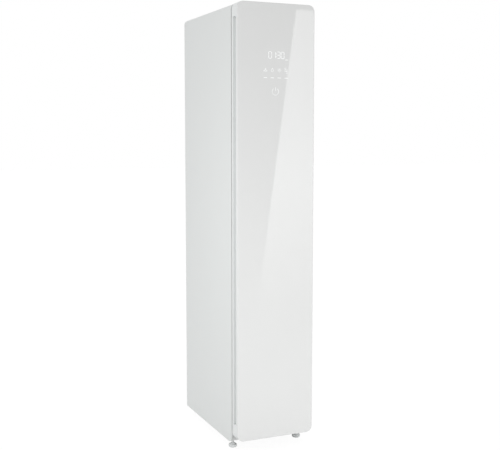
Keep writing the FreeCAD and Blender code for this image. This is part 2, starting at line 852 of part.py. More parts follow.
def make_power_inlet():
    """Grommet where the mains lead enters the rear panel."""
    where = ("inside - gland_inset", "gland_level")
    front = "rear_inner - gland_length"
    rear = "rear_outer + gland_flange"
    sleeve = rod("inlet_sleeve", "y", where, "gland_radius", front, "rear_outer")
    flange = rod("inlet_flange", "y", where, "gland_radius + gland_lip", "rear_outer", rear)
    bore = rod("inlet_bore", "y", where, "gland_bore", front, rear)
    name_node(cut("power_inlet", join("inlet_solid", sleeve, flange), bore), "power_inlet")


def make_case_screws():
    """All the screws of the rear panel, its cover and the hinge brackets."""
    screws = []
    for n, (x, z) in enumerate(rear_screw_places()):
        screws.append(screw(f"rear_screw{n}", x, z, "rear_outer"))
    for n, (x, z) in enumerate(cover_screw_places()):
        screws.append(screw(f"cover_screw{n}", x, z, "rear_outer + sheet"))
    for n, (x, z) in enumerate(all_hinge_screws()):
        screws.append(screw(f"hinge_screw{n}", x, z, "body_front + bracket_thick / 2"))
    name_node(group("case_screws", *screws), "case_screws")


# --- insulated chamber -------------------------------------------------------------------

def make_foam_insulation():
    """Foam between the steel case and the lining: two sides, rear and roof."""
    foam = body("foam_insulation")
    add(foam, "y", "frame_back", "rear_inner",
        rect("-inside", "inside", "floor_under", "roof_under"))
    soften(foam, "wrap_corner - sheet", along("y", x=("inside", "-inside"), z=("roof_under",)))
    take(foam, "y", "frame_back", "liner_rear",
         rect("-liner_side", "liner_side", "floor_under", "foam_top"))
    take(foam, "y", "rear_outer - screw_length", "rear_inner",
         *(disc(x, z, "screw_radius") for x, z in rear_screw_places()
           if measure(z) > measure("floor_under")))
    name_node(foam, "foam_insulation")


def make_inner_liner():
    """Lining of the chamber's sides and rear, with a rail on each side for the shelf."""
    walls = body("liner_walls")
    add(walls, "z", "floor_under", "liner_top",
        rect("-liner_side", "liner_side", "frame_back", "liner_rear"))
    take(walls, "z", "floor_under", "liner_top",
         rect("-cavity_side", "cavity_side", "frame_back", "cavity_rear"))
    rails = []
    for side, sign in SIDES:
        places = sorted((f"{sign} * cavity_side", f"{sign} * (cavity_side - ledge_width)"),
                        key=measure)
        rails.append(box(side + "_shelf_rail", places, ("shelf_front", "cavity_rear"),
                         ("ledge_level - ledge_height", "ledge_level")))
    name_node(group("inner_liner", walls, *rails), "inner_liner")


def make_chamber_ceiling():
    """Ceiling of the chamber, with slots for the hanger bar's arms."""
    ceiling = body("chamber_ceiling")
    add(ceiling, "z", "ceiling_level", "liner_top",
        rect("-cavity_side", "cavity_side", "frame_back", "cavity_rear"))
    take(ceiling, "z", "ceiling_level", "liner_top", *arm_slots())
    name_node(ceiling, "chamber_ceiling")


def arm_slots():
    """Slots that the hanger bar's two arms move in, on a level plane."""
    reach = "(arm_width / 2 + stroke + arm_clear)"
    return [rect(f"{sign} * arm_x - {reach}", f"{sign} * arm_x + {reach}",
                 "crank_y - arm_thick / 2 - arm_clear", "crank_y + arm_thick / 2 + arm_clear")
            for sign in (-1, 1)]


def tank_sides():
    """The two tanks' names with the side that each is on."""
    return (("supply_tank", -1), ("drain_tank", 1))


def well_areas():
    """The two wells seen from above."""
    return [rect(f"{sign} * well_inner", f"{sign} * well_outer", "well_front", "well_rear")
            for _, sign in tank_sides()]


def make_cavity_floor():
    """Chamber floor with openings for the tanks, the air and the steam nozzle."""
    floor = body("cavity_floor")
    add(floor, "z", "floor_under", "floor_level",
        rect("-cavity_side", "cavity_side", "body_front", "cavity_rear"))
    take(floor, "z", "floor_under", "floor_level", *well_areas(),
         rect("filter_left - filter_clear", "filter_right + filter_clear",
              "filter_front - filter_clear", "filter_rear + filter_clear"),
         disc("steam_x", "steam_y", "steam_radius"))
    vent = take(floor, "z", "floor_under", "floor_level",
                rect("fan_x - (vent_count - 1) * vent_pitch / 2 - vent_width / 2",
                     "fan_x - (vent_count - 1) * vent_pitch / 2 + vent_width / 2",
                     "fan_y - vent_length / 2", "fan_y + vent_length / 2"))
    repeat(floor, vent, "H_Axis", "vent_count", "vent_pitch")
    name_node(floor, "cavity_floor")


def make_tank_bay():
    """Moulded bay with two open wells; its front closes the cabinet below the chamber."""
    bay = body("tank_bay")
    add(bay, "z", "opening_bottom", "floor_under",
        rect("-cavity_side", "cavity_side", "body_front", "bay_rear"))
    take(bay, "z", "well_bottom", "floor_under", *well_areas())
    take(bay, "z", "opening_bottom", "well_bottom - well_skin",
         rect("-well_outer", "well_outer", "body_front + bay_side_wall", "well_rear"))
    name_node(bay, "tank_bay")


def make_tanks():
    """Two water tanks, open at the top beside a carrying bar."""
    for name, sign in tank_sides():
        near = f"{sign} * tank_inner"
        far = f"{sign} * tank_outer"
        tank = body(name)
        add(tank, "z", "tank_bottom", "tank_top", rect(near, far, "tank_front", "tank_rear"))
        inner = (f"{sign} * (tank_inner + tank_wall)", f"{sign} * (tank_outer - tank_wall)")
        take(tank, "z", "tank_bottom + tank_wall", "tank_top",
             rect(*inner, "tank_front + tank_wall", "tank_rear - tank_wall"))
        middle = "(tank_front + tank_rear) / 2"
        add(tank, "z", "tank_top - tank_bar", "tank_top",
            rect(*inner, f"{middle} - tank_bar / 2", f"{middle} + tank_bar / 2"))
        name_node(tank, name)


def make_shelf():
    """Slotted shelf that lies on its two rails."""
    shelf = body("shelf")
    add(shelf, "z", "shelf_under", "shelf_under + shelf_thick",
        rect("-shelf_half", "shelf_half", "shelf_front", "cavity_rear - shelf_clear"))
    slot = take(shelf, "z", "shelf_under", "shelf_under + shelf_thick",
                rect("-(shelf_slots - 1) * shelf_pitch / 2 - shelf_slot / 2",
                     "-(shelf_slots - 1) * shelf_pitch / 2 + shelf_slot / 2",
                     "shelf_front + shelf_rim", "cavity_rear - shelf_rim"))
    repeat(shelf, slot, "H_Axis", "shelf_slots", "shelf_pitch")
    name_node(shelf, "shelf")


def make_lint_filter():
    """Lift-out lint filter in the air intake, with a pull tab."""
    lint = body("lint_filter")
    top = "floor_level + seat_clear"
    plate_top = f"{top} + filter_plate"
    middle = "(filter_left + filter_right) / 2"
    edge = "filter_front - filter_flange"
    add(lint, "z", "floor_level - filter_deep", top,
        rect("filter_left", "filter_right", "filter_front", "filter_rear"))
    add(lint, "z", top, plate_top,
        rect("filter_left - filter_flange", "filter_right + filter_flange",
             edge, "filter_rear + filter_flange"))
    row = "(filter_left + filter_right - (mesh_count - 1) * mesh_pitch) / 2"
    slot = take(lint, "z", "floor_level - filter_deep", plate_top,
                rect(f"{row} - mesh_width / 2", f"{row} + mesh_width / 2",
                     "filter_front + filter_rim", "filter_rear - filter_rim"))
    repeat(lint, slot, "H_Axis", "mesh_count", "mesh_pitch")
    add(lint, "z", plate_top, f"{plate_top} + filter_tab",
        rect(f"{middle} - tab_half", f"{middle} + tab_half", edge, f"{edge} + tab_thick"))
    name_node(lint, "lint_filter")


def make_led_lamp():
    """Round lamp under the chamber's ceiling."""
    lamp = body("led_lamp")
    add(lamp, "z", "ceiling_level - lamp_thick", "ceiling_level",
        disc("0", "lamp_y", "lamp_radius"))
    soften(lamp, "lamp_thick / 2", on_plane("z", "ceiling_level - lamp_thick"))
    name_node(lamp, "led_lamp")


# --- heat pump, steam and water ----------------------------------------------------------

def make_duct_housing():
    """Air duct under the chamber floor, open at the top, round the coils and blower."""
    duct = body("duct_housing")
    add(duct, "z", "duct_bottom", "floor_under",
        rect("duct_left", "duct_right", "duct_front", "duct_rear"))
    take(duct, "z", "duct_floor", "floor_under",
         rect("duct_left + duct_wall", "duct_right - duct_wall",
              "duct_front + duct_wall", "duct_rear - duct_wall"))
    take(duct, "z", "duct_bottom", "duct_floor", disc("fan_x", "fan_y", "fan_shaft + shaft_clear"))
    take(duct, "x", "duct_right - duct_wall", "duct_right",
         *(disc(y, z, "stub_radius + seat_clear") for _, y, z in coil_stubs()))
    name_node(duct, "duct_housing")


def coil_stubs():
    """Each coil's name, with the place of the stub that its pipe meets."""
    return (("evaporator", "evaporator_front + coil_thick / 2", "suction_level"),
            ("condenser", "condenser_front + coil_thick / 2", "discharge_level"))


def make_coils():
    """Evaporator and condenser: finned blocks, each with one pipe stub."""
    for name, y, z in coil_stubs():
        front = name + "_front"
        coil = body(name)
        add(coil, "y", front, f"{front} + coil_thick",
            rect("coil_left", "coil_right", "duct_floor", "duct_floor + coil_height"))
        row = "(coil_left + coil_right - (slot_count - 1) * slot_pitch) / 2"
        slot = take(coil, "y", front, f"{front} + coil_thick",
                    rect(f"{row} - slot_width / 2", f"{row} + slot_width / 2",
                         "duct_floor + coil_rim", "duct_floor + coil_height - coil_rim"))
        repeat(coil, slot, "H_Axis", "slot_count", "slot_pitch")
        add(coil, "x", "coil_right", "duct_right + stub_reach", disc(y, z, "stub_radius"))
        name_node(coil, name)


def make_fan():
    """Blower wheel on its shaft, and the motor under the duct's floor."""
    where = ("fan_x", "fan_y")
    wheel = body("fan_impeller")
    bore = "fan_shaft + pin_clear"
    plate_top = "fan_bottom + fan_plate"
    hub_top = "fan_bottom + fan_hub_height"
    turn(wheel, where, [
        (bore, "fan_bottom"), ("fan_radius", "fan_bottom"), ("fan_radius", plate_top),
        ("fan_hub", plate_top), ("fan_hub_top", hub_top), (bore, hub_top)])
    drawing = sketch(wheel, "z", plate_top, "fan_x")
    drawing.setExpression("AttachmentOffset.Base.y", formula("fan_y"))
    draw(drawing, rect("fan_radius - blade_depth", "fan_radius - blade_inset",
                       "-blade_thick / 2", "blade_thick / 2"))
    blade = wheel.newObject("PartDesign::Pad", "Pad")
    blade.Profile = drawing
    blade.setExpression("Length", formula("fan_height - fan_plate"))
    ring = wheel.newObject("PartDesign::PolarPattern", "PolarPattern")
    ring.Originals = [blade]
    ring.Axis = (drawing, ["N_Axis"])
    ring.Angle = FULL_TURN
    ring.setExpression("Occurrences", formula("fan_blades"))
    wheel.Tip = ring
    turn(wheel, where, rect("fan_radius - blade_depth - blade_inset", "fan_radius",
                            "fan_bottom + fan_height - fan_plate", "fan_bottom + fan_height"))
    name_node(wheel, "fan_impeller")

    motor = body("fan_motor")
    low = "duct_bottom - fan_motor_height"
    shaft_top = "fan_bottom + fan_shaft_end"
    turn(motor, where, [
        ("0", low), ("fan_motor_radius", low), ("fan_motor_radius", "duct_bottom"),
        ("fan_shaft", "duct_bottom"), ("fan_shaft", shaft_top), ("0", shaft_top)])
    soften(motor, "motor_round", on_plane("z", low))
    name_node(motor, "fan_motor")


def compressor_stubs():
    """Pipe stubs on the compressor's top: suction and discharge."""
    return (("compressor_x", "compressor_y"), ("compressor_x + stub_gap", "compressor_y"))


def make_compressor():
    """Sealed compressor with domed ends, on three rubber mounts."""
    shell = body("compressor_shell")
    turn(shell, ("compressor_x", "compressor_y"), [
        ("0", "compressor_bottom"), ("compressor_radius - shell_foot", "compressor_bottom"),
        ("compressor_radius", "compressor_bottom + shell_foot_rise"),
        ("compressor_radius", "compressor_top - shell_dome"),
        ("compressor_radius - shell_shoulder", "compressor_top - shell_crown_rise"),
        ("shell_crown", "compressor_top"), ("0", "compressor_top")])
    stubs = [rod(f"compressor_stub{n}", "z", place, "stub_radius",
                 "compressor_top - stub_root", "compressor_top + stub_height")
             for n, place in enumerate(compressor_stubs())]
    name_node(join("compressor", shell, *stubs), "compressor")
    mounts = []
    for n, angle in enumerate((30, 150, 270)):
        x = f"compressor_x + mount_circle * cos({angle})"
        y = f"compressor_y + mount_circle * sin({angle})"
        mounts.append(rod(f"mount{n}", "z", (x, y), "mount_radius",
                          "pan_top", "compressor_bottom"))
    name_node(group("compressor_mounts", *mounts), "compressor_mounts")


def make_refrigerant_pipes():
    """Copper pipes from the compressor's two stubs to the two coils."""
    pipes = []
    for (x, y), (name, coil_y, coil_z) in zip(compressor_stubs(), coil_stubs()):
        pipes.append(bent_tube(name + "_pipe", "pipe_radius", "pipe_bend", [
            (x, y, "compressor_top + stub_height"), (x, y, coil_z),
            ("duct_right + pipe_lead", coil_y, coil_z),
            ("duct_right + stub_reach", coil_y, coil_z)]))
    name_node(group("refrigerant_pipes", *pipes), "refrigerant_pipes")


def make_steam_unit():
    """Steam generator on the pan, with a pipe up to the nozzle in the chamber floor."""
    top = "pan_top + steamer_height"
    boiler = body("steam_generator")
    add(boiler, "z", "pan_top", top,
        rect("steamer_left", "steamer_right", "steamer_front", "steamer_rear"))
    soften(boiler, "steamer_round", along("z", x=("steamer_left", "steamer_right")))
    soften(boiler, "steamer_edge", on_plane("z", top))
    name_node(boiler, "steam_generator")
    where = ("steam_x", "steam_y")
    outer = rod("steam_outer", "z", where, "steam_radius", top, "floor_under")
    bore = rod("steam_hole", "z", where, "steam_bore", top, "floor_under")
    name_node(cut("steam_pipe", outer, bore), "steam_pipe")
    nozzle = body("steam_nozzle")
    turn(nozzle, where, [
        ("steam_bore", "floor_under"), ("steam_radius", "floor_under"),
        ("steam_radius", "floor_level"), ("nozzle_radius", "floor_level"),
        ("nozzle_top", "floor_level + nozzle_height"),
        ("steam_bore", "floor_level + nozzle_height")])
    name_node(nozzle, "steam_nozzle")


def make_water_pump():
    """Water pump on the pan: a motor block with a round pump head on top."""
    top = "pan_top + pump_height"
    motor = box("pump_motor", ("pump_left", "pump_right"), ("pump_front", "pump_rear"),
                ("pan_top", top))
    head = rod("pump_head", "z", ("(pump_left + pump_right) / 2", "(pump_front + pump_rear) / 2"),
               "pump_head_radius", top, f"{top} + pump_head_height")
    name_node(join("water_pump", motor, head), "water_pump")


def make_water_hoses():
    """Hoses from the tank bay to the pump and from the pump to the steam generator."""
    x = "(pump_left + pump_right) / 2"
    y = "(pump_front + pump_rear) / 2"
    start = "pump_front - feed_reach"
    feed = bent_tube("feed_hose", "hose_radius", "pipe_bend", [
        (x, start, "well_bottom - well_skin"), (x, start, "hose_level"),
        (x, "pump_front", "hose_level")])
    supply = rod("boiler_hose", "x", (y, "hose_level"), "hose_radius",
                 "pump_right", "steamer_left")
    name_node(group("water_hoses", feed, supply), "water_hoses")


def make_control_box():
    """Box with the main circuit board, above the chamber."""
    name_node(box("control_box", ("control_left", "control_right"),
                  ("control_front", "control_rear"),
                  ("liner_top", "liner_top + control_height")), "control_box")


# --- hanger drive ------------------------------------------------------------------------

def make_drive_bracket():
    """Steel deck above the ceiling, with the post that the crank turns on."""
    deck = body("drive_deck")
    add(deck, "z", "liner_top", "deck_top",
        rect("deck_margin - liner_side", "liner_side - deck_margin",
             "crank_y - deck_front", "motor_y + deck_rear"))
    take(deck, "z", "liner_top", "deck_top", *arm_slots())
    post = body("crank_post")
    turn(post, ("0", "crank_y"), [
        ("0", "liner_top"), ("axle_radius + post_wall", "liner_top"),
        ("axle_radius + post_wall", "pulley_level - seat_clear"),
        ("axle_radius", "pulley_level - seat_clear"), ("axle_radius", "pulley_top"),
        ("0", "pulley_top")])
    name_node(join("drive_bracket", deck, post), "drive_bracket")


def make_pulley(name, y, radius, bore):
    """A grooved belt pulley on the drive's level."""
    wheel = body(name + "_wheel")
    floor = f"{radius} - groove_depth"
    low = "pulley_level + belt_gap - belt_clear"
    high = "pulley_top - belt_gap + belt_clear"
    turn(wheel, ("0", y), [
        (f"{bore} + pin_clear", "pulley_level"), (radius, "pulley_level"), (radius, low),
        (floor, low), (floor, high), (radius, high), (radius, "pulley_top"),
        (f"{bore} + pin_clear", "pulley_top")])
    return wheel


def make_drive():
    """Motor, its pulley, the belt and the crank pulley that shakes the hanger bar."""
    crank = make_pulley("crank", "crank_y", "crank_radius", "axle_radius")
    crank_pin = rod("crank_stub", "z", ("0", "crank_y - crank_throw"), "crank_pin",
                    "pulley_top - pin_root", "yoke_top")
    name_node(join("crank_pulley", crank, crank_pin), "crank_pulley")
    small = make_pulley("motor", "motor_y", "motor_pulley", "motor_axle")
    name_node(small, "motor_pulley")
    motor = body("shaker_motor")
    turn(motor, ("0", "motor_y"), [
        ("0", "deck_top"), ("motor_radius", "deck_top"),
        ("motor_radius", "deck_top + motor_height"),
        ("motor_boss", "deck_top + motor_height"),
        ("motor_boss", "pulley_level - seat_clear"),
        ("motor_axle", "pulley_level - seat_clear"),
        ("motor_axle", "pulley_top"), ("0", "pulley_top")])
    name_node(motor, "shaker_motor")


def belt_loop(reach):
    """The closed line of a belt that lies this far outside the two groove floors."""
    large = measure("crank_radius - groove_depth") + reach
    small = measure("motor_pulley - groove_depth") + reach
    near = Vector(0, measure("crank_y"), 0)
    away = Vector(0, measure("motor_y"), 0)
    lean = math.acos((large - small) / (away - near).Length)
    side = Vector(math.sin(lean), math.cos(lean), 0)
    other = Vector(-side.x, side.y, 0)
    loop = [
        Part.Arc(near + side * large, near - AXES["y"] * large, near + other * large),
        Part.LineSegment(near + other * large, away + other * small),
        Part.Arc(away + other * small, away + AXES["y"] * small, away + side * small),
        Part.LineSegment(away + side * small, near + side * large)]
    return Part.Wire([piece.toShape() for piece in loop])


def make_drive_belt():
    """Flat belt round the motor's pulley and the crank pulley."""
    clear = measure("belt_clear")
    outer = Part.Face(belt_loop(clear + measure("belt_thick")))
    inner = Part.Face(belt_loop(clear))
    belt = DOC.addObject("Part::Feature", "drive_belt")
    belt.Shape = outer.cut(inner).extrude(Vector(0, 0, measure("belt_width")))
    belt.Placement = Placement(Vector(0, 0, measure("pulley_level + belt_gap")), Rotation())
    name_node(belt, "drive_belt")


def make_hanger_bar():
    """Yoke plate with two arms and the round bar that carries the hangers."""
    yoke = body("yoke_plate")
    end = "arm_x + arm_width / 2"
    add(yoke, "z", "yoke_bottom", "yoke_top", rect(f"-({end})", end, "yoke_front", "yoke_rear"))
    play = "(crank_pin + crank_slack)"
    far = "crank_y - crank_throw"
    take(yoke, "z", "yoke_bottom", "yoke_top",
         rect(f"-{play}", play, f"{far} - {play}", f"{far} + slot_reach + {play}"))
    arms = [box(f"bar_arm{n}", (f"{sign} * arm_x - arm_width / 2",
                                f"{sign} * arm_x + arm_width / 2"),
                ("crank_y - arm_thick / 2", "crank_y + arm_thick / 2"),
                ("bar_level", "yoke_bottom")) for n, sign in enumerate((-1, 1))]
    bar = rod("bar_tube", "x", ("crank_y", "bar_level"), "bar_radius", "-bar_half", "bar_half")
    name_node(join("hanger_bar", yoke, bar, *arms), "hanger_bar")


def make_bar_guides():
    """Two channels on the deck that the yoke plate slides in."""
    guides = []
    edge = "arm_x - arm_width / 2 - stroke - guide_clear"
    for n, sign in enumerate((-1, 1)):
        places = sorted((f"{sign} * ({edge})", f"{sign} * ({edge} - guide_width)"), key=measure)
        block = box(f"guide_block{n}", places,
                    ("yoke_front - seat_clear - guide_wall", "yoke_rear + seat_clear + guide_wall"),
                    ("deck_top", "yoke_top"))
        channel = box(f"guide_channel{n}", places,
                      ("yoke_front - seat_clear", "yoke_rear + seat_clear"),
                      ("yoke_bottom - seat_clear", "yoke_top"))
        guides.append(cut(f"guide{n}", block, channel))
    name_node(group("bar_guides", *guides), "bar_guides")


def make_hangers():
    """Two moulded hangers, each with a wire hook round the bar."""
    for name, sign in (("hanger_left", -1), ("hanger_right", 1)):
        x = f"{sign} * hanger_pitch / 2"
        shoulder = body(name + "_shoulder")
        tip = "shoulder_half"
        rib = "shoulder_rib"
        low = "bar_level - shoulder_drop"
        top = "bar_level - neck_length"
        add(shoulder, "x", f"{x} - hanger_thick / 2", f"{x} + hanger_thick / 2", [
            ("crank_y - hanger_crown", top), (f"crank_y - {tip}", f"{low} + {rib}"),
            (f"crank_y - {tip}", low), (f"crank_y - {tip} + {rib}", low),
            ("crank_y", f"{top} - crown_depth"), (f"crank_y + {tip} - {rib}", low),
            (f"crank_y + {tip}", low), (f"crank_y + {tip}", f"{low} + {rib}"),
            ("crank_y + hanger_crown", top)])
        soften(shoulder, "hanger_round", along("x"))
        hook = make_hook(name + "_hook", x)
        name_node(join(name, shoulder, hook), name)


def make_hook(name, x):
    """The wire hook: round the bar, then down to the hanger's middle."""
    ring = measure("hook_radius")
    wire = measure("hook_wire")
    centre = Vector(measure(x), measure("crank_y"), measure("bar_level"))
    leave = math.radians(HOOK_LEAVES)
    start = math.radians(HOOK_STARTS)

    def on_ring(angle):
        return centre + Vector(0, math.cos(angle), math.sin(angle)) * ring

    slope = Vector(0, math.sin(leave), -math.cos(leave))
    drop = on_ring(leave).y - centre.y
    knee = on_ring(leave) + slope * (drop / -slope.y)
    neck = Vector(centre.x, centre.y, centre.z - measure("neck_length + hook_root"))
    bend = measure("hook_bend")
    tangent = bend * math.tan(slope.getAngle(Vector(0, 0, -1)) / 2)
    first = knee - slope * tangent
    last = knee + Vector(0, 0, -tangent)
    away = (first + last) * 0.5 - knee
    middle = knee + away.normalize() * (math.hypot(bend, tangent) - bend)
    edges = [
        Part.Arc(on_ring(start), on_ring((start + leave) / 2), on_ring(leave)),
        Part.LineSegment(on_ring(leave), first),
        Part.Arc(first, middle, last),
        Part.LineSegment(last, neck)]
    path = Part.Wire([edge.toShape() for edge in edges])
    tangent_at_start = Vector(0, math.sin(start), -math.cos(start))
    section = Part.Wire(Part.Circle(on_ring(start), tangent_at_start, wire).toShape())
    hook = DOC.addObject("Part::Feature", name)
    hook.Shape = path.makePipeShell([section], True, True)
    return hook


# --- door --------------------------------------------------------------------------------

def make_door_glass():
    """White-backed glass front with round corners and an eased edge."""
    glass = body("door_glass")
    add(glass, "y", "door_front", "glass_back", rect("-half", "half", "door_bottom", "height"))
    soften(glass, "door_corner",
           along("y", x=("-half", "half"), z=("door_bottom", "height")))
    soften(glass, "glass_edge", on_plane("y", "door_front"))
    name_node(glass, "door_glass")


def make_door_rails():
    """Side rails; the left one has the finger groove along its whole length."""
    grip = body("door_grip_rail")
    groove_front = "door_front + grip_front"
    add(grip, "y", "glass_back", "door_back",
        rect("-half", "-rail_inner", "cap_bottom_edge", "cap_top_edge"))
    take(grip, "z", "cap_bottom_edge", "cap_top_edge",
         rect("-half", "grip_depth - half", groove_front, f"{groove_front} + grip_width"))
    soften(grip, "grip_round", along("z", x=("grip_depth - half",),
                                     y=(groove_front, f"{groove_front} + grip_width")))
    name_node(grip, "door_grip_rail")
    name_node(box("door_hinge_rail", ("rail_inner", "half"), ("glass_back", "door_back"),
                  ("cap_bottom_edge", "cap_top_edge")), "door_hinge_rail")


def make_door_caps():
    """Moulded top and bottom of the door, with round corners and the hinge sockets."""
    top = body("door_top_cap")
    add(top, "y", "glass_back", "door_back", rect("-half", "half", "cap_top_edge", "height"))
    soften(top, "door_corner", along("y", x=("-half", "half"), z=("height",)))
    take(top, "z", "socket_top", "height",
         rect("hinge_x - bracket_width / 2 - bracket_clear", "half + bracket_clear",
              "hinge_y - bracket_width / 2 - bracket_swing", "door_back + bracket_clear"))
    take(top, "z", "socket_bottom", "socket_top", disc("hinge_x", "hinge_y", "bush_radius"))
    name_node(top, "door_top_cap")
    low = body("door_bottom_cap")
    add(low, "y", "glass_back", "door_back",
        rect("-half", "half", "door_bottom", "cap_bottom_edge"))
    soften(low, "door_corner", along("y", x=("-half", "half"), z=("door_bottom",)))
    take(low, "z", "door_bottom", "door_bottom + pin_reach",
         disc("hinge_x", "hinge_y", "bush_radius"))
    name_node(low, "door_bottom_cap")


def make_door_core():
    """Foam that fills the door, with a pocket for the display behind the glass."""
    core = body("door_core")
    add(core, "y", "glass_back", "core_back",
        rect("-rail_inner", "rail_inner", "cap_bottom_edge", "cap_top_edge"))
    add(core, "y", "core_back", "plug_back - door_skin",
        rect("door_skin - plug_half", "plug_half - door_skin",
             "plug_bottom + door_skin", "plug_top - door_skin"))
    take(core, "y", "glass_back", "glass_back + board_pocket",
         rect("-board_width / 2 - board_clear", "board_width / 2 + board_clear",
              "board_top - board_height - board_clear", "board_top + board_clear"))
    name_node(core, "door_core")


def make_door_inner_panel():
    """Moulded inner lining of the door, with its raised middle."""
    panel = body("door_inner_panel")
    add(panel, "y", "core_back", "door_back",
        rect("-rail_inner", "rail_inner", "cap_bottom_edge", "cap_top_edge"))
    add(panel, "y", "door_back", "plug_back",
        rect("-plug_half", "plug_half", "plug_bottom", "plug_top"))
    take(panel, "y", "core_back", "plug_back - door_skin",
         rect("door_skin - plug_half", "plug_half - door_skin",
              "plug_bottom + door_skin", "plug_top - door_skin"))
    name_node(panel, "door_inner_panel")


def make_door_gasket():
    """Magnetic rubber seal round the door's rear face."""
    gasket = body("door_gasket")
    edge = "cavity_side + seal_margin"
    low = "opening_bottom - seal_margin"
    high = "ceiling_level + seal_margin"
    back_face = "body_front - seat_clear"
    add(gasket, "y", "door_back", back_face,
        rect(f"-({edge}) - seal_width", f"{edge} + seal_width",
             f"{low} - seal_width", f"{high} + seal_width"))
    take(gasket, "y", "door_back", back_face, rect(f"-({edge})", edge, low, high))
    soften(gasket, "seal_hollow", on_plane("y", back_face))
    name_node(gasket, "door_gasket")


def make_display_board():
    """Circuit board with the touch keys and lights, behind the glass."""
    name_node(box("display_board", ("-board_width / 2", "board_width / 2"),
                  ("glass_back", "glass_back + board_thick"),
                  ("board_top - board_height", "board_top")), "display_board")


def make_hinges():
    """Brackets screwed to the front frame, their pins, and the bushes in the door."""
    width = ("hinge_x - bracket_width / 2", "hinge_x + bracket_width / 2")
    leg_y = ("body_front", "body_front + bracket_thick")
    for name, plate_z, leg_z, screws in (
            ("top_hinge_bracket", ("bracket_under", "bracket_top"),
             ("bracket_top - bracket_leg", "bracket_top"),
             hinge_screw_places("bracket_top - bracket_leg", "bracket_top")),
            ("bottom_hinge_bracket", ("low_bracket_under", "low_bracket_top"),
             ("low_bracket_under", "low_bracket_under + bracket_leg"),
             hinge_screw_places("frame_bottom", "low_bracket_under + bracket_leg"))):
        leg = box(name + "_leg", width, leg_y, leg_z)
        plate = box(name + "_plate", width, ("hinge_y", "body_front + bracket_thick"), plate_z)
        nose = rod(name + "_nose", "z", ("hinge_x", "hinge_y"), "bracket_width / 2", *plate_z)
        hole = rod(name + "_pin_hole", "z", ("hinge_x", "hinge_y"), "pin_radius", *plate_z)
        holes = screw_holes(name, screws, "body_front", "body_front + bracket_thick")
        heads = [rod(f"{name}_sink{n}", "y", place, "head_radius", "body_front",
                     "body_front + bracket_thick / 2") for n, place in enumerate(screws)]
        solid = join(name + "_solid", leg, plate, nose)
        name_node(cut(name, solid, hole, *holes, *heads), name)
    where = ("hinge_x", "hinge_y")
    upper = rod("upper_pin", "z", where, "pin_radius", "socket_bottom + socket_clear",
                "bracket_top")
    lower = rod("lower_pin", "z", where, "pin_radius", "low_bracket_under",
                "door_bottom + pin_reach - socket_clear")
    name_node(group("hinge_pins", upper, lower), "hinge_pins")
    upper_bush = body("upper_bush")
    turn(upper_bush, where, rect("bore_radius", "bush_radius", "socket_bottom", "socket_top"))
    lower_bush = body("lower_bush")
    turn(lower_bush, where, [
        ("bore_radius", "door_bottom - flange_thick"),
        ("bracket_width / 2", "door_bottom - flange_thick"),
        ("bracket_width / 2", "door_bottom"), ("bush_radius", "door_bottom"),
        ("bush_radius", "door_bottom + pin_reach"), ("bore_radius", "door_bottom + pin_reach")])
    name_node(group("hinge_bushes", upper_bush, lower_bush), "hinge_bushes")


def make_press():
    """Trouser press: a plate that swings on two pins held by lugs on the door."""
    axis = ("press_x", "press_y")
    plate = body("press_blade")
    add(plate, "z", "press_bottom", "press_top",
        rect("press_margin - plug_half", "press_x", "press_y - press_round",
             "press_y + press_round"))
    soften(plate, "press_edge", along("z", x=("press_margin - plug_half",)))
    edge = rod("press_edge", "z", axis, "press_round", "press_bottom", "press_top")
    pins = rod("press_pins", "z", axis, "pin_radius",
               "press_bottom - press_lug", "press_top + press_lug")
    name_node(join("press_plate", plate, edge, pins), "press_plate")
    lugs = []
    for name, low, high in (
            ("low", "press_bottom - press_lug", "press_bottom - seat_clear"),
            ("high", "press_top + seat_clear", "press_top + press_lug")):
        block = box(f"lug_{name}", ("press_x - press_round", "press_x + press_round"),
                    ("plug_back", "press_y + press_round"), (low, high))
        bore = rod(f"lug_bore_{name}", "z", axis, "bore_radius", low, high)
        lugs.append(cut(f"press_lug_{name}", block, bore))
    name_node(group("press_brackets", *lugs), "press_brackets")


# --- the whole cabinet -------------------------------------------------------------------

def make_all():
    """Make every sub-part."""
    makers = (
        make_cabinet_wrap, make_rear_panel, make_service_cover, make_base_pan, make_feet,
        make_foot_bushes, make_front_frame, make_power_inlet, make_case_screws,
        make_foam_insulation, make_inner_liner, make_chamber_ceiling, make_cavity_floor,
        make_tank_bay, make_tanks,
        make_shelf, make_lint_filter, make_led_lamp, make_duct_housing, make_coils, make_fan,
        make_compressor, make_refrigerant_pipes, make_steam_unit, make_water_pump,
        make_water_hoses, make_control_box, make_drive_bracket, make_drive, make_drive_belt,
        make_hanger_bar, make_bar_guides, make_hangers, make_door_glass, make_door_rails,
        make_door_caps, make_door_core, make_door_inner_panel, make_door_gasket,
        make_display_board, make_hinges, make_press)
    for maker in makers:
        maker()
    DOC.recompute()


def check_all():
    """Stop if any object failed, any shape is bad, or any cut took nothing away."""
    for thing in DOC.Objects:
        if "Invalid" in thing.State or "Error" in thing.State:
            raise RuntimeError(f"{thing.Name} ({thing.Label}) failed: {thing.State}")
    for node in NODES:
        if node.Shape.isNull() or not node.Shape.isValid() or not node.Shape.Solids:
            raise RuntimeError(f"{node.Label} has no valid solid")
    for thing in DOC.Objects:
        if thing.TypeId == "PartDesign::Pocket":
            before, after = thing.BaseFeature.Shape.Volume, thing.Shape.Volume
        elif thing.TypeId == "Part::Cut":
            before, after = thing.Base.Shape.Volume, thing.Shape.Volume
        else:
            continue
        if before - after < TOUCH:
            raise RuntimeError(f"{thing.Name} took nothing away")


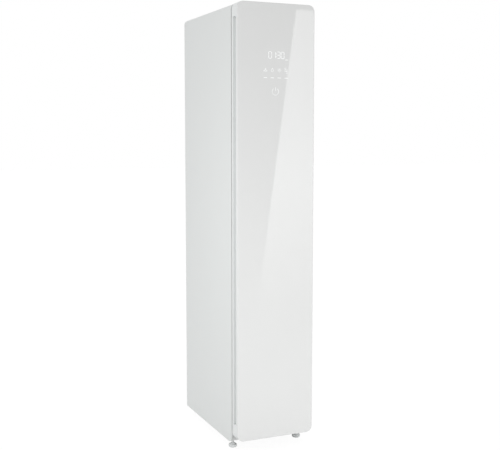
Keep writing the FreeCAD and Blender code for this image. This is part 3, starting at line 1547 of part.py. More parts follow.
def write_all():
    """Write one STEP file for each sub-part."""
    os.makedirs("parts", exist_ok=True)
    for node in NODES:
        node.Shape.exportStep(f"parts/{node.Label}.step")
        print(f"{node.Label}: {len(node.Shape.Solids)} solid(s), "
              f"{node.Shape.Volume / CM3:.1f} cm3")
    print(len(NODES), "nodes")


fill_sheet()
make_all()
check_all()
write_all()
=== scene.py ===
# %% [markdown]
# # A clothes care steam cabinet
#
# The real object is a slim steel wardrobe for two garments. A glass-fronted door closes
# a white chamber; a heat pump, two water tanks and a steam generator fill the machine
# room under it, and a small drive above it shakes the hanger bar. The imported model
# already holds every piece at its real size. This lesson dresses those pieces: it gives
# each one its finish and models what the plain solids leave out.

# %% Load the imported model
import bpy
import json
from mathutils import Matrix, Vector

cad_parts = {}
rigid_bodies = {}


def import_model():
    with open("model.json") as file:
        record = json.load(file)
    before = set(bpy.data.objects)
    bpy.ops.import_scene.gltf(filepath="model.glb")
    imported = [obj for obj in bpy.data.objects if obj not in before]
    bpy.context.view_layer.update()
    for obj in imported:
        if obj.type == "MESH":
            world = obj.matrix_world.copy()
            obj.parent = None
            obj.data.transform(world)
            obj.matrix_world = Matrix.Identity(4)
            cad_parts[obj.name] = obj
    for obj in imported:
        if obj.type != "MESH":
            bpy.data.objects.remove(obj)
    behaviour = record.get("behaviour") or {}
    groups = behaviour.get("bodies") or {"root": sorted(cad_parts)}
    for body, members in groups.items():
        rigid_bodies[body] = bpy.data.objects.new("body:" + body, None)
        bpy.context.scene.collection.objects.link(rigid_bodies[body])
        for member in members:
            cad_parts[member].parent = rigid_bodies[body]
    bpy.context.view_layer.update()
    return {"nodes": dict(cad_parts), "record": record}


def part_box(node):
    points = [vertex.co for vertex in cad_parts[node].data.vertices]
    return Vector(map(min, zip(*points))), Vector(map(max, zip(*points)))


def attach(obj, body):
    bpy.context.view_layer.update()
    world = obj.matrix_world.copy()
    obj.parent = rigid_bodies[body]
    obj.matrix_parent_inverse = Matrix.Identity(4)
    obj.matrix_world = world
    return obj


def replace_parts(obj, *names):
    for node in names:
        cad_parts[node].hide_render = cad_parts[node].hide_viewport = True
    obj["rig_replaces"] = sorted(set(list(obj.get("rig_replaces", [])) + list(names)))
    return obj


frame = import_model()

# %% [markdown]
# Three dictionaries say, for each node of the model, its body, its material slot and its
# object. Every new piece is later made to move with the body of the node it stands for,
# so that it opens, slides or turns as the real one does.

# %% Bodies, slots and small helpers
import json
import math

import bmesh
import bpy
from mathutils import Matrix, Vector

MM = 0.001
FULL_TURN = 2 * math.pi
X, Y, Z = Vector((1, 0, 0)), Vector((0, 1, 0)), Vector((0, 0, 1))
nodes = frame["nodes"]
body_of = {name: body for body, names in frame["record"]["behaviour"]["bodies"].items()
           for name in names}
slot_of = {name: thing.data.materials[0].name for name, thing in nodes.items()}


def middle(name):
    """The centre of a node's box."""
    low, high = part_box(name)
    return (low + high) / 2


def placed(name, data):
    """A new object in the scene."""
    thing = bpy.data.objects.new(name, data)
    bpy.context.scene.collection.objects.link(thing)
    return thing


def spread(first, last, steps):
    """Evenly spread numbers from first to last, both included."""
    return [first + (last - first) * step / steps for step in range(steps + 1)]


def in_mm(points, foot=0.0):
    """Points in millimetres as points in metres, with their heights above a foot."""
    return [(across * MM, foot + up * MM) for across, up in points]

# %% [markdown]
# ## Camera, floor and light
#
# The camera stands to the left of the door, a little above the cabinet's middle, so that
# the painted side and the glass front share the picture. It looks slightly down. A tilt
# makes a tall object's uprights lean, so a small part of it is a shift of the lens
# instead, which keeps them parallel.

# %% Camera
CAMERA_PLACE = (-1.5100, -3.4981, 1.3142)
CAMERA_TURN = -23.626         # degrees from straight ahead, towards +X
CAMERA_TILT = -5.21           # degrees from level
CAMERA_LENS = 61.92           # millimetres, on the usual 36 mm sensor
CAMERA_SHIFT = -0.02          # share of the picture's width

camera_data = bpy.data.cameras.new("camera")
camera_data.lens = CAMERA_LENS
camera_data.shift_y = CAMERA_SHIFT
camera = placed("camera", camera_data)
camera.location = CAMERA_PLACE
camera.rotation_euler = (math.radians(90 + CAMERA_TILT), 0, math.radians(CAMERA_TURN))
bpy.context.scene.camera = camera
print("camera:", [round(place, 3) for place in camera.location], camera_data.lens, "mm")

# %% [markdown]
# Material trees and Geometry Nodes trees are both made of nodes and links. One helper
# serves them all: it adds a node, sets what is a plain value and links what is a socket.
# Two smaller ones do a step of arithmetic and empty a new tree.

# %% Helpers for every node tree
def node(tree, kind, inputs=None, **settings):
    """Add a node; each input is either a plain value or the socket that feeds it."""
    made = tree.nodes.new(kind)
    for name, value in settings.items():
        setattr(made, name, value)
    for key, value in (inputs or {}).items():
        socket = made.inputs[key]
        if isinstance(value, bpy.types.NodeSocket):
            tree.links.new(value, socket)
        else:
            socket.default_value = value
    return made


def maths(tree, operation, first, second=0.0, clamp=False):
    """One arithmetic step on two numbers."""
    return node(tree, "ShaderNodeMath", {0: first, 1: second},
                operation=operation, use_clamp=clamp).outputs[0]


def emptied(thing):
    """The node tree of a new material or world, with nothing in it."""
    thing.use_nodes = True
    thing.node_tree.nodes.clear()
    return thing.node_tree

# %% [markdown]
# A product picture has a white ground, but white walls must not flood a white object
# with light. So the world is white only for the camera and for reflections, and gives
# the object a plainer, softer light. The floor does the same, and mixes in just enough
# of a real surface to keep the cabinet's shadow.

# %% World and floor
WHITE = (1, 1, 1, 1)
SKY_LIGHT = 0.77
FLOOR_COLOUR = (0.9, 0.9, 0.9, 1)
FLOOR_SHADOW = 0.10           # how much of the floor's look is a real lit surface
FLOOR_GLOW = 1.05             # makes up for the share that the lit surface takes
FLOOR_HALF = 30.0
FLOOR_GAP = 0.0005            # the floor lies this far under the feet


def seen_directly(tree):
    """1 for camera, mirror and see-through rays, 0 for rays that only bring light."""
    path = node(tree, "ShaderNodeLightPath").outputs
    either = maths(tree, "MAXIMUM", path["Is Camera Ray"], path["Is Glossy Ray"])
    return maths(tree, "MAXIMUM", either, path["Is Transmission Ray"])


def flat_sheet(name, corners, finish):
    """A four-cornered sheet of the studio."""
    mesh = bpy.data.meshes.new(name)
    mesh.from_pydata(corners, [], [(0, 1, 2, 3)])
    mesh.materials.append(finish)
    return placed(name, mesh)


world = bpy.data.worlds.new("studio")
sky = emptied(world)
strength = node(sky, "ShaderNodeMapRange",
                {"Value": seen_directly(sky), "To Min": SKY_LIGHT, "To Max": 1.0})
background = node(sky, "ShaderNodeBackground", {"Color": WHITE, "Strength": strength.outputs[0]})
node(sky, "ShaderNodeOutputWorld", {"Surface": background.outputs[0]})
bpy.context.scene.world = world

floor_finish = bpy.data.materials.new("studio_floor")
ground = emptied(floor_finish)
lit = node(ground, "ShaderNodeBsdfDiffuse", {"Color": FLOOR_COLOUR})
white = node(ground, "ShaderNodeEmission", {"Color": WHITE, "Strength": FLOOR_GLOW})
direct = maths(ground, "MULTIPLY", seen_directly(ground), 1 - FLOOR_SHADOW)
mixed = node(ground, "ShaderNodeMixShader", {0: direct, 1: lit.outputs[0], 2: white.outputs[0]})
node(ground, "ShaderNodeOutputMaterial", {"Surface": mixed.outputs[0]})

studio_floor = flat_sheet("studio_floor", [(x * FLOOR_HALF, y * FLOOR_HALF, -FLOOR_GAP) for x, y in
                                           ((-1, -1), (1, -1), (1, 1), (-1, 1))], floor_finish)
print("floor at", -FLOOR_GAP, "m, sky light", SKY_LIGHT)

# %% [markdown]
# Three soft lamps shape the box. One stands low in front of the door, one washes along
# the painted side, and one grazes the back, so that the beads pressed into it show.
# Glass shows its gloss only when there is something bright to mirror, so a white card
# hangs in front of the door to the right. Its slanting edge runs down the glass as a
# soft diagonal line, and its light fades towards the floor.

# %% Lamps and the reflection card
LAMPS = {                     # place and target, size in metres, power in watts
    "front_lamp": ((0.3, -1.7, 0.15), (0, -0.3, 0.3), 1.0, 6.0),
    "side_lamp": ((-1.2, -0.75, 1.0), (-0.17, -0.2, 0.95), 1.0, 4.0),
    "rear_lamp": ((0.75, 0.62, 2.1), (0, 0.315, 1.0), 0.4, 4.0)}

for name, (place, target, size, power) in LAMPS.items():
    data = bpy.data.lights.new(name, "AREA")
    data.size, data.energy = size, power
    lamp = placed(name, data)
    lamp.location = place
    lamp.rotation_euler = (Vector(target) - Vector(place)).to_track_quat("-Z", "Y").to_euler()
    lamp.visible_glossy = False

CARD_Y = -2.0
CARD_TOP = (0.9325, 2.100)    # x and z of the slanting edge's upper end
CARD_FOOT = (0.642, 0.050)    # and of its lower end
CARD_RIGHT = 1.9
CARD_GLOW = 3.65
CARD_FADES = (0.05, 1.25)     # heights between which the card's light comes up

card_finish = bpy.data.materials.new("reflection_card")
card_tree = emptied(card_finish)
place = node(card_tree, "ShaderNodeTexCoord").outputs["Object"]
height = node(card_tree, "ShaderNodeSeparateXYZ", {0: place}).outputs["Z"]
rising = node(card_tree, "ShaderNodeMapRange",
              {"Value": height, "From Min": CARD_FADES[0], "From Max": CARD_FADES[1],
               "To Min": 1.0, "To Max": CARD_GLOW}, interpolation_type="SMOOTHSTEP")
glow = node(card_tree, "ShaderNodeEmission", {"Color": WHITE, "Strength": rising.outputs[0]})
node(card_tree, "ShaderNodeOutputMaterial", {"Surface": glow.outputs[0]})
card = flat_sheet("reflection_card", [(x, CARD_Y, z) for x, z in
                  (CARD_FOOT, (CARD_RIGHT, CARD_FOOT[1]), (CARD_RIGHT, CARD_TOP[1]), CARD_TOP)],
                  card_finish)
for ray in ("camera", "diffuse", "transmission", "volume_scatter", "shadow"):
    setattr(card, "visible_" + ray, False)
print(len(LAMPS), "lamps, card from", CARD_TOP, "to", CARD_FOOT)

bpy.context.scene.view_settings.view_transform = "Standard"

# %% [markdown]
# ## Effects that several finishes share
#
# A shader node group is like a function: it is built once, and each material calls it
# with its own numbers. These groups give out only masks and heights. What colour or
# roughness a mask drives is decided in each material, because a steel sheet and a
# rubber seal need different answers from the same grain.

# %% A helper that makes a shader group
def shader_group(name, inputs, outputs):
    """An empty group; inputs are name and default, outputs are names of numbers."""
    group = bpy.data.node_groups.new(name, "ShaderNodeTree")
    for label, value in inputs.items():
        socket = group.interface.new_socket(label, in_out="INPUT", socket_type="NodeSocketFloat")
        socket.default_value = value
    for label in outputs:
        group.interface.new_socket(label, in_out="OUTPUT", socket_type="NodeSocketFloat")
    return group, node(group, "NodeGroupInput").outputs


def noise(tree, place, scale, detail=2.0, distortion=0.0):
    """Soft cloudy noise at a scale given in waves per metre."""
    return node(tree, "ShaderNodeTexNoise", {"Vector": place, "Scale": scale, "Detail": detail,
                                             "Distortion": distortion}).outputs[0]

# %% [markdown]
# **Grain** is the fine texture of a painted, moulded or cast surface, and **mottle** is
# its slow drift of tone over the length of a hand. Both read Object coordinates, so the
# texture has a real size in metres and stays on the piece when it moves. Stretching one
# axis turns the same noise into the brush lines of rolled steel. **Crystals** mixes in
# the many-sided flakes that zinc forms on galvanised sheet.

# %% Grain and mottle
FLAKES = 90.0                 # zinc flakes per metre

grain, told = shader_group("surface_grain", {"Grain": 900.0, "Mottle": 6.0, "Stretch": 1.0,
                                             "Crystals": 0.0}, ("Height", "Tone"))
spot = node(grain, "ShaderNodeTexCoord").outputs["Object"]
stretched = node(grain, "ShaderNodeCombineXYZ", {0: 1.0, 1: 1.0, 2: told["Stretch"]}).outputs[0]
drawn = node(grain, "ShaderNodeVectorMath", {0: spot, 1: stretched}, operation="MULTIPLY")
cloud = noise(grain, spot, told["Mottle"], 4.0, 0.4)
flake = node(grain, "ShaderNodeTexVoronoi", {"Vector": spot, "Scale": FLAKES})
flake_tone = node(grain, "ShaderNodeSeparateXYZ", {0: flake.outputs["Color"]}).outputs[0]
further = maths(grain, "MULTIPLY", maths(grain, "SUBTRACT", flake_tone, cloud), told["Crystals"])
node(grain, "NodeGroupOutput", {
    "Height": noise(grain, drawn.outputs[0], told["Grain"], 3.0),
    "Tone": maths(grain, "ADD", cloud, further)})
print("group", grain.name, [item.name for item in grain.interface.items_tree])

# %% [markdown]
# ** Edge wear and sheen** finds outer edges by comparing the true normal with the rounded normal
# that the Bevel node gives, and breaks the line up with noise so that it doesn't look
# drawn. On bare metal and dark plastic the colour laid on these edges is rubbed wear. On
# the white case, the door's mouldings and the feet it is a lighter white, a painted
# highlight along the edges. **Dust** settles on faces that look up, in soft patches.

# %% Edge wear, painted edge highlight and dust
WEAR_AND_SHEEN_GAIN = 6.0               # how fast the wear and the painted highlight grow as the two normals part
DUST_SLOPES = (0.6, 1.0)      # upward share of the normal at which dust begins and is full


def spot_noise(tree, patches, detail):
    """Noise on the piece's own coordinates, which breaks an effect up into patches."""
    return noise(tree, node(tree, "ShaderNodeTexCoord").outputs["Object"], patches, detail)


# Outer edges as a mask: it lays rubbed wear on metals and dark plastic, and a painted highlight on the
# white parts.
wear_and_sheen, told = shader_group("edge_wear", {"Width": 0.001, "Patches": 60.0, "Amount": 1.0},
                          ("Wear",))
rounded = node(wear_and_sheen, "ShaderNodeBevel", {"Radius": told["Width"]}, samples=4).outputs[0]
true = node(wear_and_sheen, "ShaderNodeNewGeometry").outputs["Normal"]
agree = node(wear_and_sheen, "ShaderNodeVectorMath", {0: rounded, 1: true}, operation="DOT_PRODUCT")
apart = maths(wear_and_sheen, "SUBTRACT", 1.0, agree.outputs["Value"])
patchy = maths(wear_and_sheen, "MULTIPLY", maths(wear_and_sheen, "MULTIPLY", apart, WEAR_AND_SHEEN_GAIN),
               spot_noise(wear_and_sheen, told["Patches"], 4.0))
node(wear_and_sheen, "NodeGroupOutput", {"Wear": maths(wear_and_sheen, "MULTIPLY", patchy, told["Amount"], True)})

dust, told = shader_group("settled_dust", {"Patches": 25.0, "Amount": 1.0}, ("Dust",))
facing = node(dust, "ShaderNodeSeparateXYZ",
              {0: node(dust, "ShaderNodeNewGeometry").outputs["Normal"]}).outputs["Z"]
up = node(dust, "ShaderNodeMapRange",
          {"Value": facing, "From Min": DUST_SLOPES[0], "From Max": DUST_SLOPES[1]})
patchy = maths(dust, "MULTIPLY", up.outputs[0], spot_noise(dust, told["Patches"], 5.0))
node(dust, "NodeGroupOutput", {"Dust": maths(dust, "MULTIPLY", patchy, told["Amount"], True)})
print("groups", wear_and_sheen.name, dust.name)

# %% [markdown]
# ## Finishes
#
# Each finish is one function call. It takes a base colour and how far the tone drifts,
# the shader's plain values, and the numbers for grain, for dust and for the edge colour,
# which is rubbed wear on some finishes and a painted highlight on others. Colour, roughness
# and bump then come from the groups above, and the Principled shader stays in the
# material itself.

# %% A function that builds a finish
TONE_STOPS = (0.3, 0.7)       # tones at which the darker and the lighter colour are reached
DUST_COLOUR = (0.62, 0.60, 0.56)
GRAIN_DEPTH = 0.0002          # metres
finishes = {}


def covered(tree, group, mask, amount, tone, colour):
    """A tone with a colour laid over it where a mask group says so."""
    cover = node(tree, "ShaderNodeGroup", node_tree=group)
    cover.inputs["Amount"].default_value = amount
    return node(tree, "ShaderNodeMix", {0: cover.outputs[mask], 6: tone, 7: (*colour, 1)},
                data_type="RGBA").outputs[2]


def finish(slot, colour, roughness, drift=0.03, rough_drift=0.08, bump=0.1, grain_scale=900.0,
           mottle=6.0, stretch=1.0, crystals=0.0, worn_and_sheen=None, dusty=0.0, **shader):
    """A material: colours are linear, roughness drifts with the mottle, grain makes the bump."""
    made = bpy.data.materials.new(slot + "_finish")
    tree = emptied(made)
    surface = node(tree, "ShaderNodeBsdfPrincipled", shader)
    node(tree, "ShaderNodeOutputMaterial", {"Surface": surface.outputs[0]})
    texture = node(tree, "ShaderNodeGroup", node_tree=grain)
    for label, value in (("Grain", grain_scale), ("Mottle", mottle), ("Stretch", stretch),
                         ("Crystals", crystals)):
        texture.inputs[label].default_value = value
    ramp = node(tree, "ShaderNodeValToRGB", {0: texture.outputs["Tone"]})
    for stop, place, share in zip(ramp.color_ramp.elements, TONE_STOPS, (1 - drift, 1 + drift)):
        stop.position = place
        stop.color = tuple(min(1, part * share) for part in colour) + (1,)
    tone = ramp.outputs[0]
    # The colour laid on the edges: rubbed wear on metals and dark plastic, a painted highlight on
    # white parts.
    if worn_and_sheen:
        tone = covered(tree, wear_and_sheen, "Wear", worn_and_sheen[0], tone, worn_and_sheen[1])
    if dusty:
        tone = covered(tree, dust, "Dust", dusty, tone, DUST_COLOUR)
    tree.links.new(tone, surface.inputs["Base Color"])
    rough = node(tree, "ShaderNodeMapRange", {"Value": texture.outputs["Tone"],
                                              "To Min": max(0.02, roughness - rough_drift),
                                              "To Max": min(1, roughness + rough_drift)})
    tree.links.new(rough.outputs[0], surface.inputs["Roughness"])
    relief = node(tree, "ShaderNodeBump", {"Height": texture.outputs["Height"],
                                           "Strength": bump, "Distance": GRAIN_DEPTH})
    tree.links.new(relief.outputs[0], surface.inputs["Normal"])
    finishes[slot] = made
    return made

# %% [markdown]
# The case is sheet steel with a satin white powder coat: a very fine orange-peel grain
# and a faint cool tint. The door's edge mouldings are a slightly glossier white. On both,
# the edges get a lighter white from the edge group, which is a painted highlight.
# The glass is clear, painted white on its back, so it looks like white lacquer under a
# perfectly smooth coat: that is the shader's coat layer, with nothing to disturb it.

# %% White outside finishes
# The lighter white laid on the edges of the case and the mouldings is a painted highlight.
finish("painted_case", (0.775, 0.795, 0.788), 0.42, drift=0.008, bump=0.12, grain_scale=700,
       worn_and_sheen=(0.10, (0.80, 0.80, 0.79)), dusty=0.04)
finish("door_trim", (0.81, 0.83, 0.825), 0.36, drift=0.01, bump=0.05, grain_scale=1200,
       worn_and_sheen=(0.08, (0.9, 0.9, 0.89)))
finish("pan_paint", (0.80, 0.81, 0.805), 0.5, drift=0.01, bump=0.12, grain_scale=700,
       worn_and_sheen=(0.2, (0.7, 0.7, 0.7)), dusty=0.1)
finish("door_glass", (0.793, 0.799, 0.793), 0.9, drift=0.004, rough_drift=0.02, bump=0.0,
       **{"Coat Weight": 1.0, "Coat Roughness": 0.015, "Coat IOR": 1.5,
          "Specular IOR Level": 0.0})
print(len(finishes), "finishes so far")

# %% [markdown]
# Inside, the chamber and the door's lining are vacuum-formed white plastic. The parts
# that a hand takes hold of, such as shelf and filter, are a mid grey. Smoked water tanks
# let light through, so they get some transmission and a low roughness.

# %% Plastics
finish("door_lining", (0.77, 0.77, 0.76), 0.45, drift=0.015, bump=0.25, grain_scale=1500,
       dusty=0.05)
finish("chamber_lining", (0.79, 0.80, 0.795), 0.5, drift=0.015, bump=0.3, grain_scale=1500,
       dusty=0.08)
finish("grey_plastic", (0.33, 0.34, 0.35), 0.5, drift=0.05, bump=0.3, grain_scale=1600,
       worn_and_sheen=(0.25, (0.5, 0.5, 0.5)), dusty=0.12)
finish("hanger_plastic", (0.16, 0.17, 0.18), 0.42, drift=0.05, bump=0.25, grain_scale=1700,
       worn_and_sheen=(0.3, (0.32, 0.32, 0.32)))
finish("tank_plastic", (0.62, 0.68, 0.70), 0.16, drift=0.02, rough_drift=0.05, bump=0.08,
       grain_scale=800, **{"Transmission Weight": 0.55, "IOR": 1.45})
# The lighter colour on the feet's edges is a painted highlight as well.
finish("foot_plastic", (0.80, 0.82, 0.82), 0.5, drift=0.03, bump=0.3, grain_scale=1400,
       worn_and_sheen=(0.3, (0.9, 0.9, 0.9)), dusty=0.1)
finish("pump_plastic", (0.10, 0.12, 0.14), 0.48, drift=0.08, bump=0.3, grain_scale=1500,
       worn_and_sheen=(0.4, (0.25, 0.25, 0.26)), dusty=0.2)
finish("lamp_lens", (0.86, 0.87, 0.88), 0.35, drift=0.01, bump=0.1, grain_scale=1200,
       **{"Emission Color": (1.0, 0.98, 0.94, 1), "Emission Strength": 0.8})
finish("press_pad", (0.30, 0.32, 0.33), 0.62, drift=0.06, bump=0.6, grain_scale=1100,
       worn_and_sheen=(0.3, (0.45, 0.46, 0.46)))
print(len(finishes), "finishes so far")

# %% [markdown]
# The machine room is bare metal, rubber and foam. Metals get Metallic 1 and their
# colour is the tint of the reflection. Galvanised sheet is duller than that, because a
# skin of zinc carbonate scatters the light, so it is only part metallic and shows its
# flakes.

# %% Metals, rubber and foam
finish("galvanised_steel", (0.38, 0.39, 0.40), 0.42, drift=0.035, rough_drift=0.06, bump=0.1,
       grain_scale=500, mottle=5, crystals=0.45, worn_and_sheen=(0.4, (0.7, 0.7, 0.71)), dusty=0.15,
       Metallic=0.45)
finish("hinge_steel", (0.60, 0.61, 0.62), 0.30, drift=0.05, bump=0.35, grain_scale=700,
       stretch=0.04, worn_and_sheen=(0.5, (0.85, 0.85, 0.86)), Metallic=1.0)
finish("motor_metal", (0.46, 0.46, 0.45), 0.42, drift=0.08, bump=0.3, grain_scale=900,
       worn_and_sheen=(0.5, (0.7, 0.7, 0.7)), dusty=0.2, Metallic=0.9)
finish("coil_aluminium", (0.68, 0.69, 0.70), 0.33, drift=0.07, bump=0.2, grain_scale=700,
       stretch=0.1, dusty=0.2, Metallic=1.0)
finish("pipe_copper", (0.78, 0.42, 0.27), 0.28, drift=0.14, rough_drift=0.12, bump=0.15,
       grain_scale=300, mottle=25, Metallic=1.0)
finish("compressor_black", (0.018, 0.018, 0.02), 0.3, drift=0.2, bump=0.25, grain_scale=600,
       worn_and_sheen=(0.35, (0.16, 0.15, 0.14)), dusty=0.35)
finish("seal_rubber", (0.24, 0.245, 0.25), 0.65, drift=0.06, bump=0.5, grain_scale=1800,
       dusty=0.1)
finish("hose_rubber", (0.03, 0.03, 0.032), 0.6, drift=0.15, bump=0.5, grain_scale=1500,
       dusty=0.2)
finish("insulating_foam", (0.72, 0.62, 0.38), 0.95, drift=0.1, rough_drift=0.05, bump=1.0,
       grain_scale=450, mottle=18)
finish("circuit_board", (0.02, 0.16, 0.07), 0.35, drift=0.25, bump=0.2, grain_scale=300,
       mottle=90)
missing = sorted(set(slot_of.values()) - set(finishes))
print(len(finishes), "finishes; slots without one:", missing)

# %% [markdown]
# ## Making pieces
#
# Every new piece goes through one function: it gets the finish and the body of the node
# it belongs to, smooth shading broken only at real edges, and, where it stands for that
# node, it takes its place. The plain solid then stays hidden for collisions only.

# %% Show a mesh as a piece
WELD = 1e-6                   # points closer than this are one point
SHARP = math.radians(35)      # faces that meet at more than this keep a hard edge
SOFT_SEGMENTS = 2


def show(name, mesh, like, *stands_for, slot=None):
    """A piece in its finish that rides with the node it is like."""
    slot = slot or slot_of[like]
    mesh.materials.clear()
    mesh.materials.append(finishes[slot])
    mesh.shade_smooth()
    mesh.set_sharp_from_angle(angle=SHARP)
    piece = placed(name, mesh)
    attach(piece, body_of[like])
    if stands_for:
        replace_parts(piece, *stands_for)
    print(f"{name}: {len(mesh.polygons)} faces, rides with {body_of[like]}")
    return piece


def mesh_of(work, name="piece"):
    """A mesh from bmesh work, which ends with that."""
    mesh = bpy.data.meshes.new(name)
    work.to_mesh(mesh)
    work.free()
    return mesh


def mesh_from(work):
    """The same, after welding, with its faces outwards."""
    bmesh.ops.remove_doubles(work, verts=work.verts, dist=WELD)
    bmesh.ops.recalc_face_normals(work, faces=work.faces)
    return mesh_of(work)


def welded(name):
    """A copy of a node as bmesh work, with its triangles joined at their points."""
    work = bmesh.new()
    work.from_mesh(nodes[name].data)
    bmesh.ops.remove_doubles(work, verts=work.verts, dist=WELD)
    return work

# %% [markdown]
# Nothing made of sheet steel or moulded plastic has a razor edge. Where the solid's own
# shape is right, a copy of it is welded, its triangles are merged back into whole faces,
# and a Bevel modifier rounds the edges by the small radius that the real process leaves.

# %% Soften a node's edges
FLAT = math.radians(1)        # faces that meet at less than this become one
BEVEL_FROM = math.radians(40)


def softened(name, width):
    """A copy of a node with rounded edges; width is in metres."""
    work = welded(name)
    bmesh.ops.dissolve_limit(work, angle_limit=FLAT, verts=work.verts, edges=work.edges)
    piece = show(name + "_finished", mesh_of(work, name + "_finished"), name, name)
    bevel = piece.modifiers.new("soft_edges", "BEVEL")
    bevel.width = width
    bevel.segments = SOFT_SEGMENTS
    bevel.limit_method = "ANGLE"
    bevel.angle_limit = BEVEL_FROM
    bevel.harden_normals = True
    return piece

# %% [markdown]
# Most other shapes are a skin over a stack of rings: circles for turned parts, rounded
# rectangles for panes and seals, any outline for a moulding. A ring of radius 0 closes
# an end to a point, and a stack whose last ring meets the first makes a closed tube.

# %% Skins over rings
def lofted(rings, loop=False):
    """A closed skin over rings that have equally many points."""
    work = bmesh.new()
    made = [[work.verts.new(point) for point in ring] for ring in rings]
    pairs = list(zip(made, made[1:])) + ([(made[-1], made[0])] if loop else [])
    for low, high in pairs:
        for here in range(len(low)):
            after = (here + 1) % len(low)
            work.faces.new((low[here], low[after], high[after], high[here]))
    if not loop:
        work.faces.new(made[0])
        work.faces.new(made[-1])
    return mesh_from(work)


def turned(profile, centre, loop=False, steps=48):
    """A lathe shape: (radius, height) points turned about an upright axis, in metres."""
    turns = spread(0, FULL_TURN, steps)[:-1]
    return lofted([[Vector((centre[0] + radius * math.cos(turn),
                            centre[1] + radius * math.sin(turn), height)) for turn in turns]
                   for radius, height in profile], loop)


def rounded_ring(low, high, radius, y, inset=0.0, steps=12):
    """A rounded rectangle square to Y; low and high are its x and z corners."""
    radius = max(radius - inset, 0.0001)
    left, bottom = low[0] + inset + radius, low[1] + inset + radius
    right, top = high[0] - inset - radius, high[1] - inset - radius
    ring = []
    for start, (x, z) in enumerate(((right, top), (left, top), (left, bottom), (right, bottom))):
        for step in range(steps + 1):
            turn = math.pi / 2 * (start + step / steps)
            ring.append(Vector((x + radius * math.cos(turn), y, z + radius * math.sin(turn))))
    return ring


def joined(*meshes):
    """Several meshes in one."""
    work = bmesh.new()
    for mesh in meshes:
        work.from_mesh(mesh)
    return mesh_of(work)

# %% [markdown]
# ## Geometry Nodes for what repeats
#
# Hoods, fins, ribs, blades and screws are one small shape set out many times. Three
# trees do that: a row, a ring and a scatter over given points. A fourth sweeps a round
# section along a path, for wires and tubes. Each takes its shape as an object input,
# ends in Realize Instances and Set Material, and is run once for a piece: its result is
# kept as a plain mesh, so the finished piece has no live modifier of this kind.

# %% Helpers for Geometry Nodes trees
def geometry_tree(name, **inputs):
    """An empty tree with named inputs; each value says the kind of socket."""
    tree = bpy.data.node_groups.new(name, "GeometryNodeTree")
    tree.interface.new_socket("Geometry", in_out="OUTPUT", socket_type="NodeSocketGeometry")
    for label, kind in {**inputs, "Material": "Material"}.items():
        tree.interface.new_socket(label, in_out="INPUT", socket_type="NodeSocket" + kind)
    return tree, node(tree, "NodeGroupInput").outputs


def close_tree(tree, geometry, told):
    """Make the instances real, give them the material and end the tree."""
    whole = node(tree, "GeometryNodeRealizeInstances", {0: geometry})
    painted = node(tree, "GeometryNodeSetMaterial",
                   {"Geometry": whole.outputs[0], "Material": told["Material"]})
    node(tree, "NodeGroupOutput", {"Geometry": painted.outputs[0]})


def shape_of(tree, thing):
    """The geometry of an object input."""
    return node(tree, "GeometryNodeObjectInfo", {"Object": thing}).outputs["Geometry"]


def grow(tree, slot, **values):
    """Run a tree once and keep what it makes; meshes are handed in as throwaway objects."""
    host = placed("grown", bpy.data.meshes.new("grown"))
    modifier = host.modifiers.new("grow", "NODES")
    modifier.node_group = tree
    values["Material"] = finishes[slot]
    throwaway = [host]
    for item in tree.interface.items_tree:
        if item.in_out == "INPUT":
            value = values[item.name]
            if isinstance(value, (bpy.types.Mesh, bpy.types.Curve)):
                value = placed("pattern", value)
                throwaway.append(value)
            modifier[item.identifier] = value
    evaluated = host.evaluated_get(bpy.context.evaluated_depsgraph_get())
    mesh = bpy.data.meshes.new_from_object(evaluated)
    for thing in throwaway:
        bpy.data.objects.remove(thing)
    return mesh

# %% [markdown]
# A **row** is a line of points one step apart, with a copy of the shape on each. The
# first copy stays where the shape was made.

# %% A row
row_tree, told = geometry_tree("row_of", Piece="Object", Count="Int", Step="Vector")
line = node(row_tree, "GeometryNodeMeshLine",
            {"Count": told["Count"], "Offset": told["Step"]}, mode="OFFSET")
copies = node(row_tree, "GeometryNodeInstanceOnPoints",
              {"Points": line.outputs[0], "Instance": shape_of(row_tree, told["Piece"])})
close_tree(row_tree, copies.outputs[0], told)

# %% [markdown]
# A **ring** puts all its points in one spot on its axis. The shape is first moved so
# that the axis runs through the origin, because an instance turns about its own origin.
# Each copy is then turned by its share of a full turn, which its point's index gives.

# %% A ring
ring_tree, told = geometry_tree("ring_of", Piece="Object", Count="Int", Centre="Vector")
spots = node(ring_tree, "GeometryNodeMeshLine",
             {"Count": told["Count"], "Start Location": told["Centre"], "Offset": (0, 0, 0)},
             mode="OFFSET")
away = node(ring_tree, "ShaderNodeVectorMath", {0: told["Centre"], 1: (-1, -1, -1)},
            operation="MULTIPLY")
centred = node(ring_tree, "GeometryNodeTransform",
               {"Geometry": shape_of(ring_tree, told["Piece"]), "Translation": away.outputs[0]})
share = maths(ring_tree, "DIVIDE", FULL_TURN, told["Count"])
turn = maths(ring_tree, "MULTIPLY", share, node(ring_tree, "GeometryNodeInputIndex").outputs[0])
facing = node(ring_tree, "ShaderNodeCombineXYZ", {2: turn})
copies = node(ring_tree, "GeometryNodeInstanceOnPoints",
              {"Points": spots.outputs[0], "Instance": centred.outputs[0],
               "Rotation": facing.outputs[0]})
close_tree(ring_tree, copies.outputs[0], told)

# %% [markdown]
# A **scatter** takes its points from a mesh. Each point carries a vector, its aim, and
# the copy's own Z axis is laid along it. A random turn about that axis comes on top, so
# that the screws don't all stand alike.

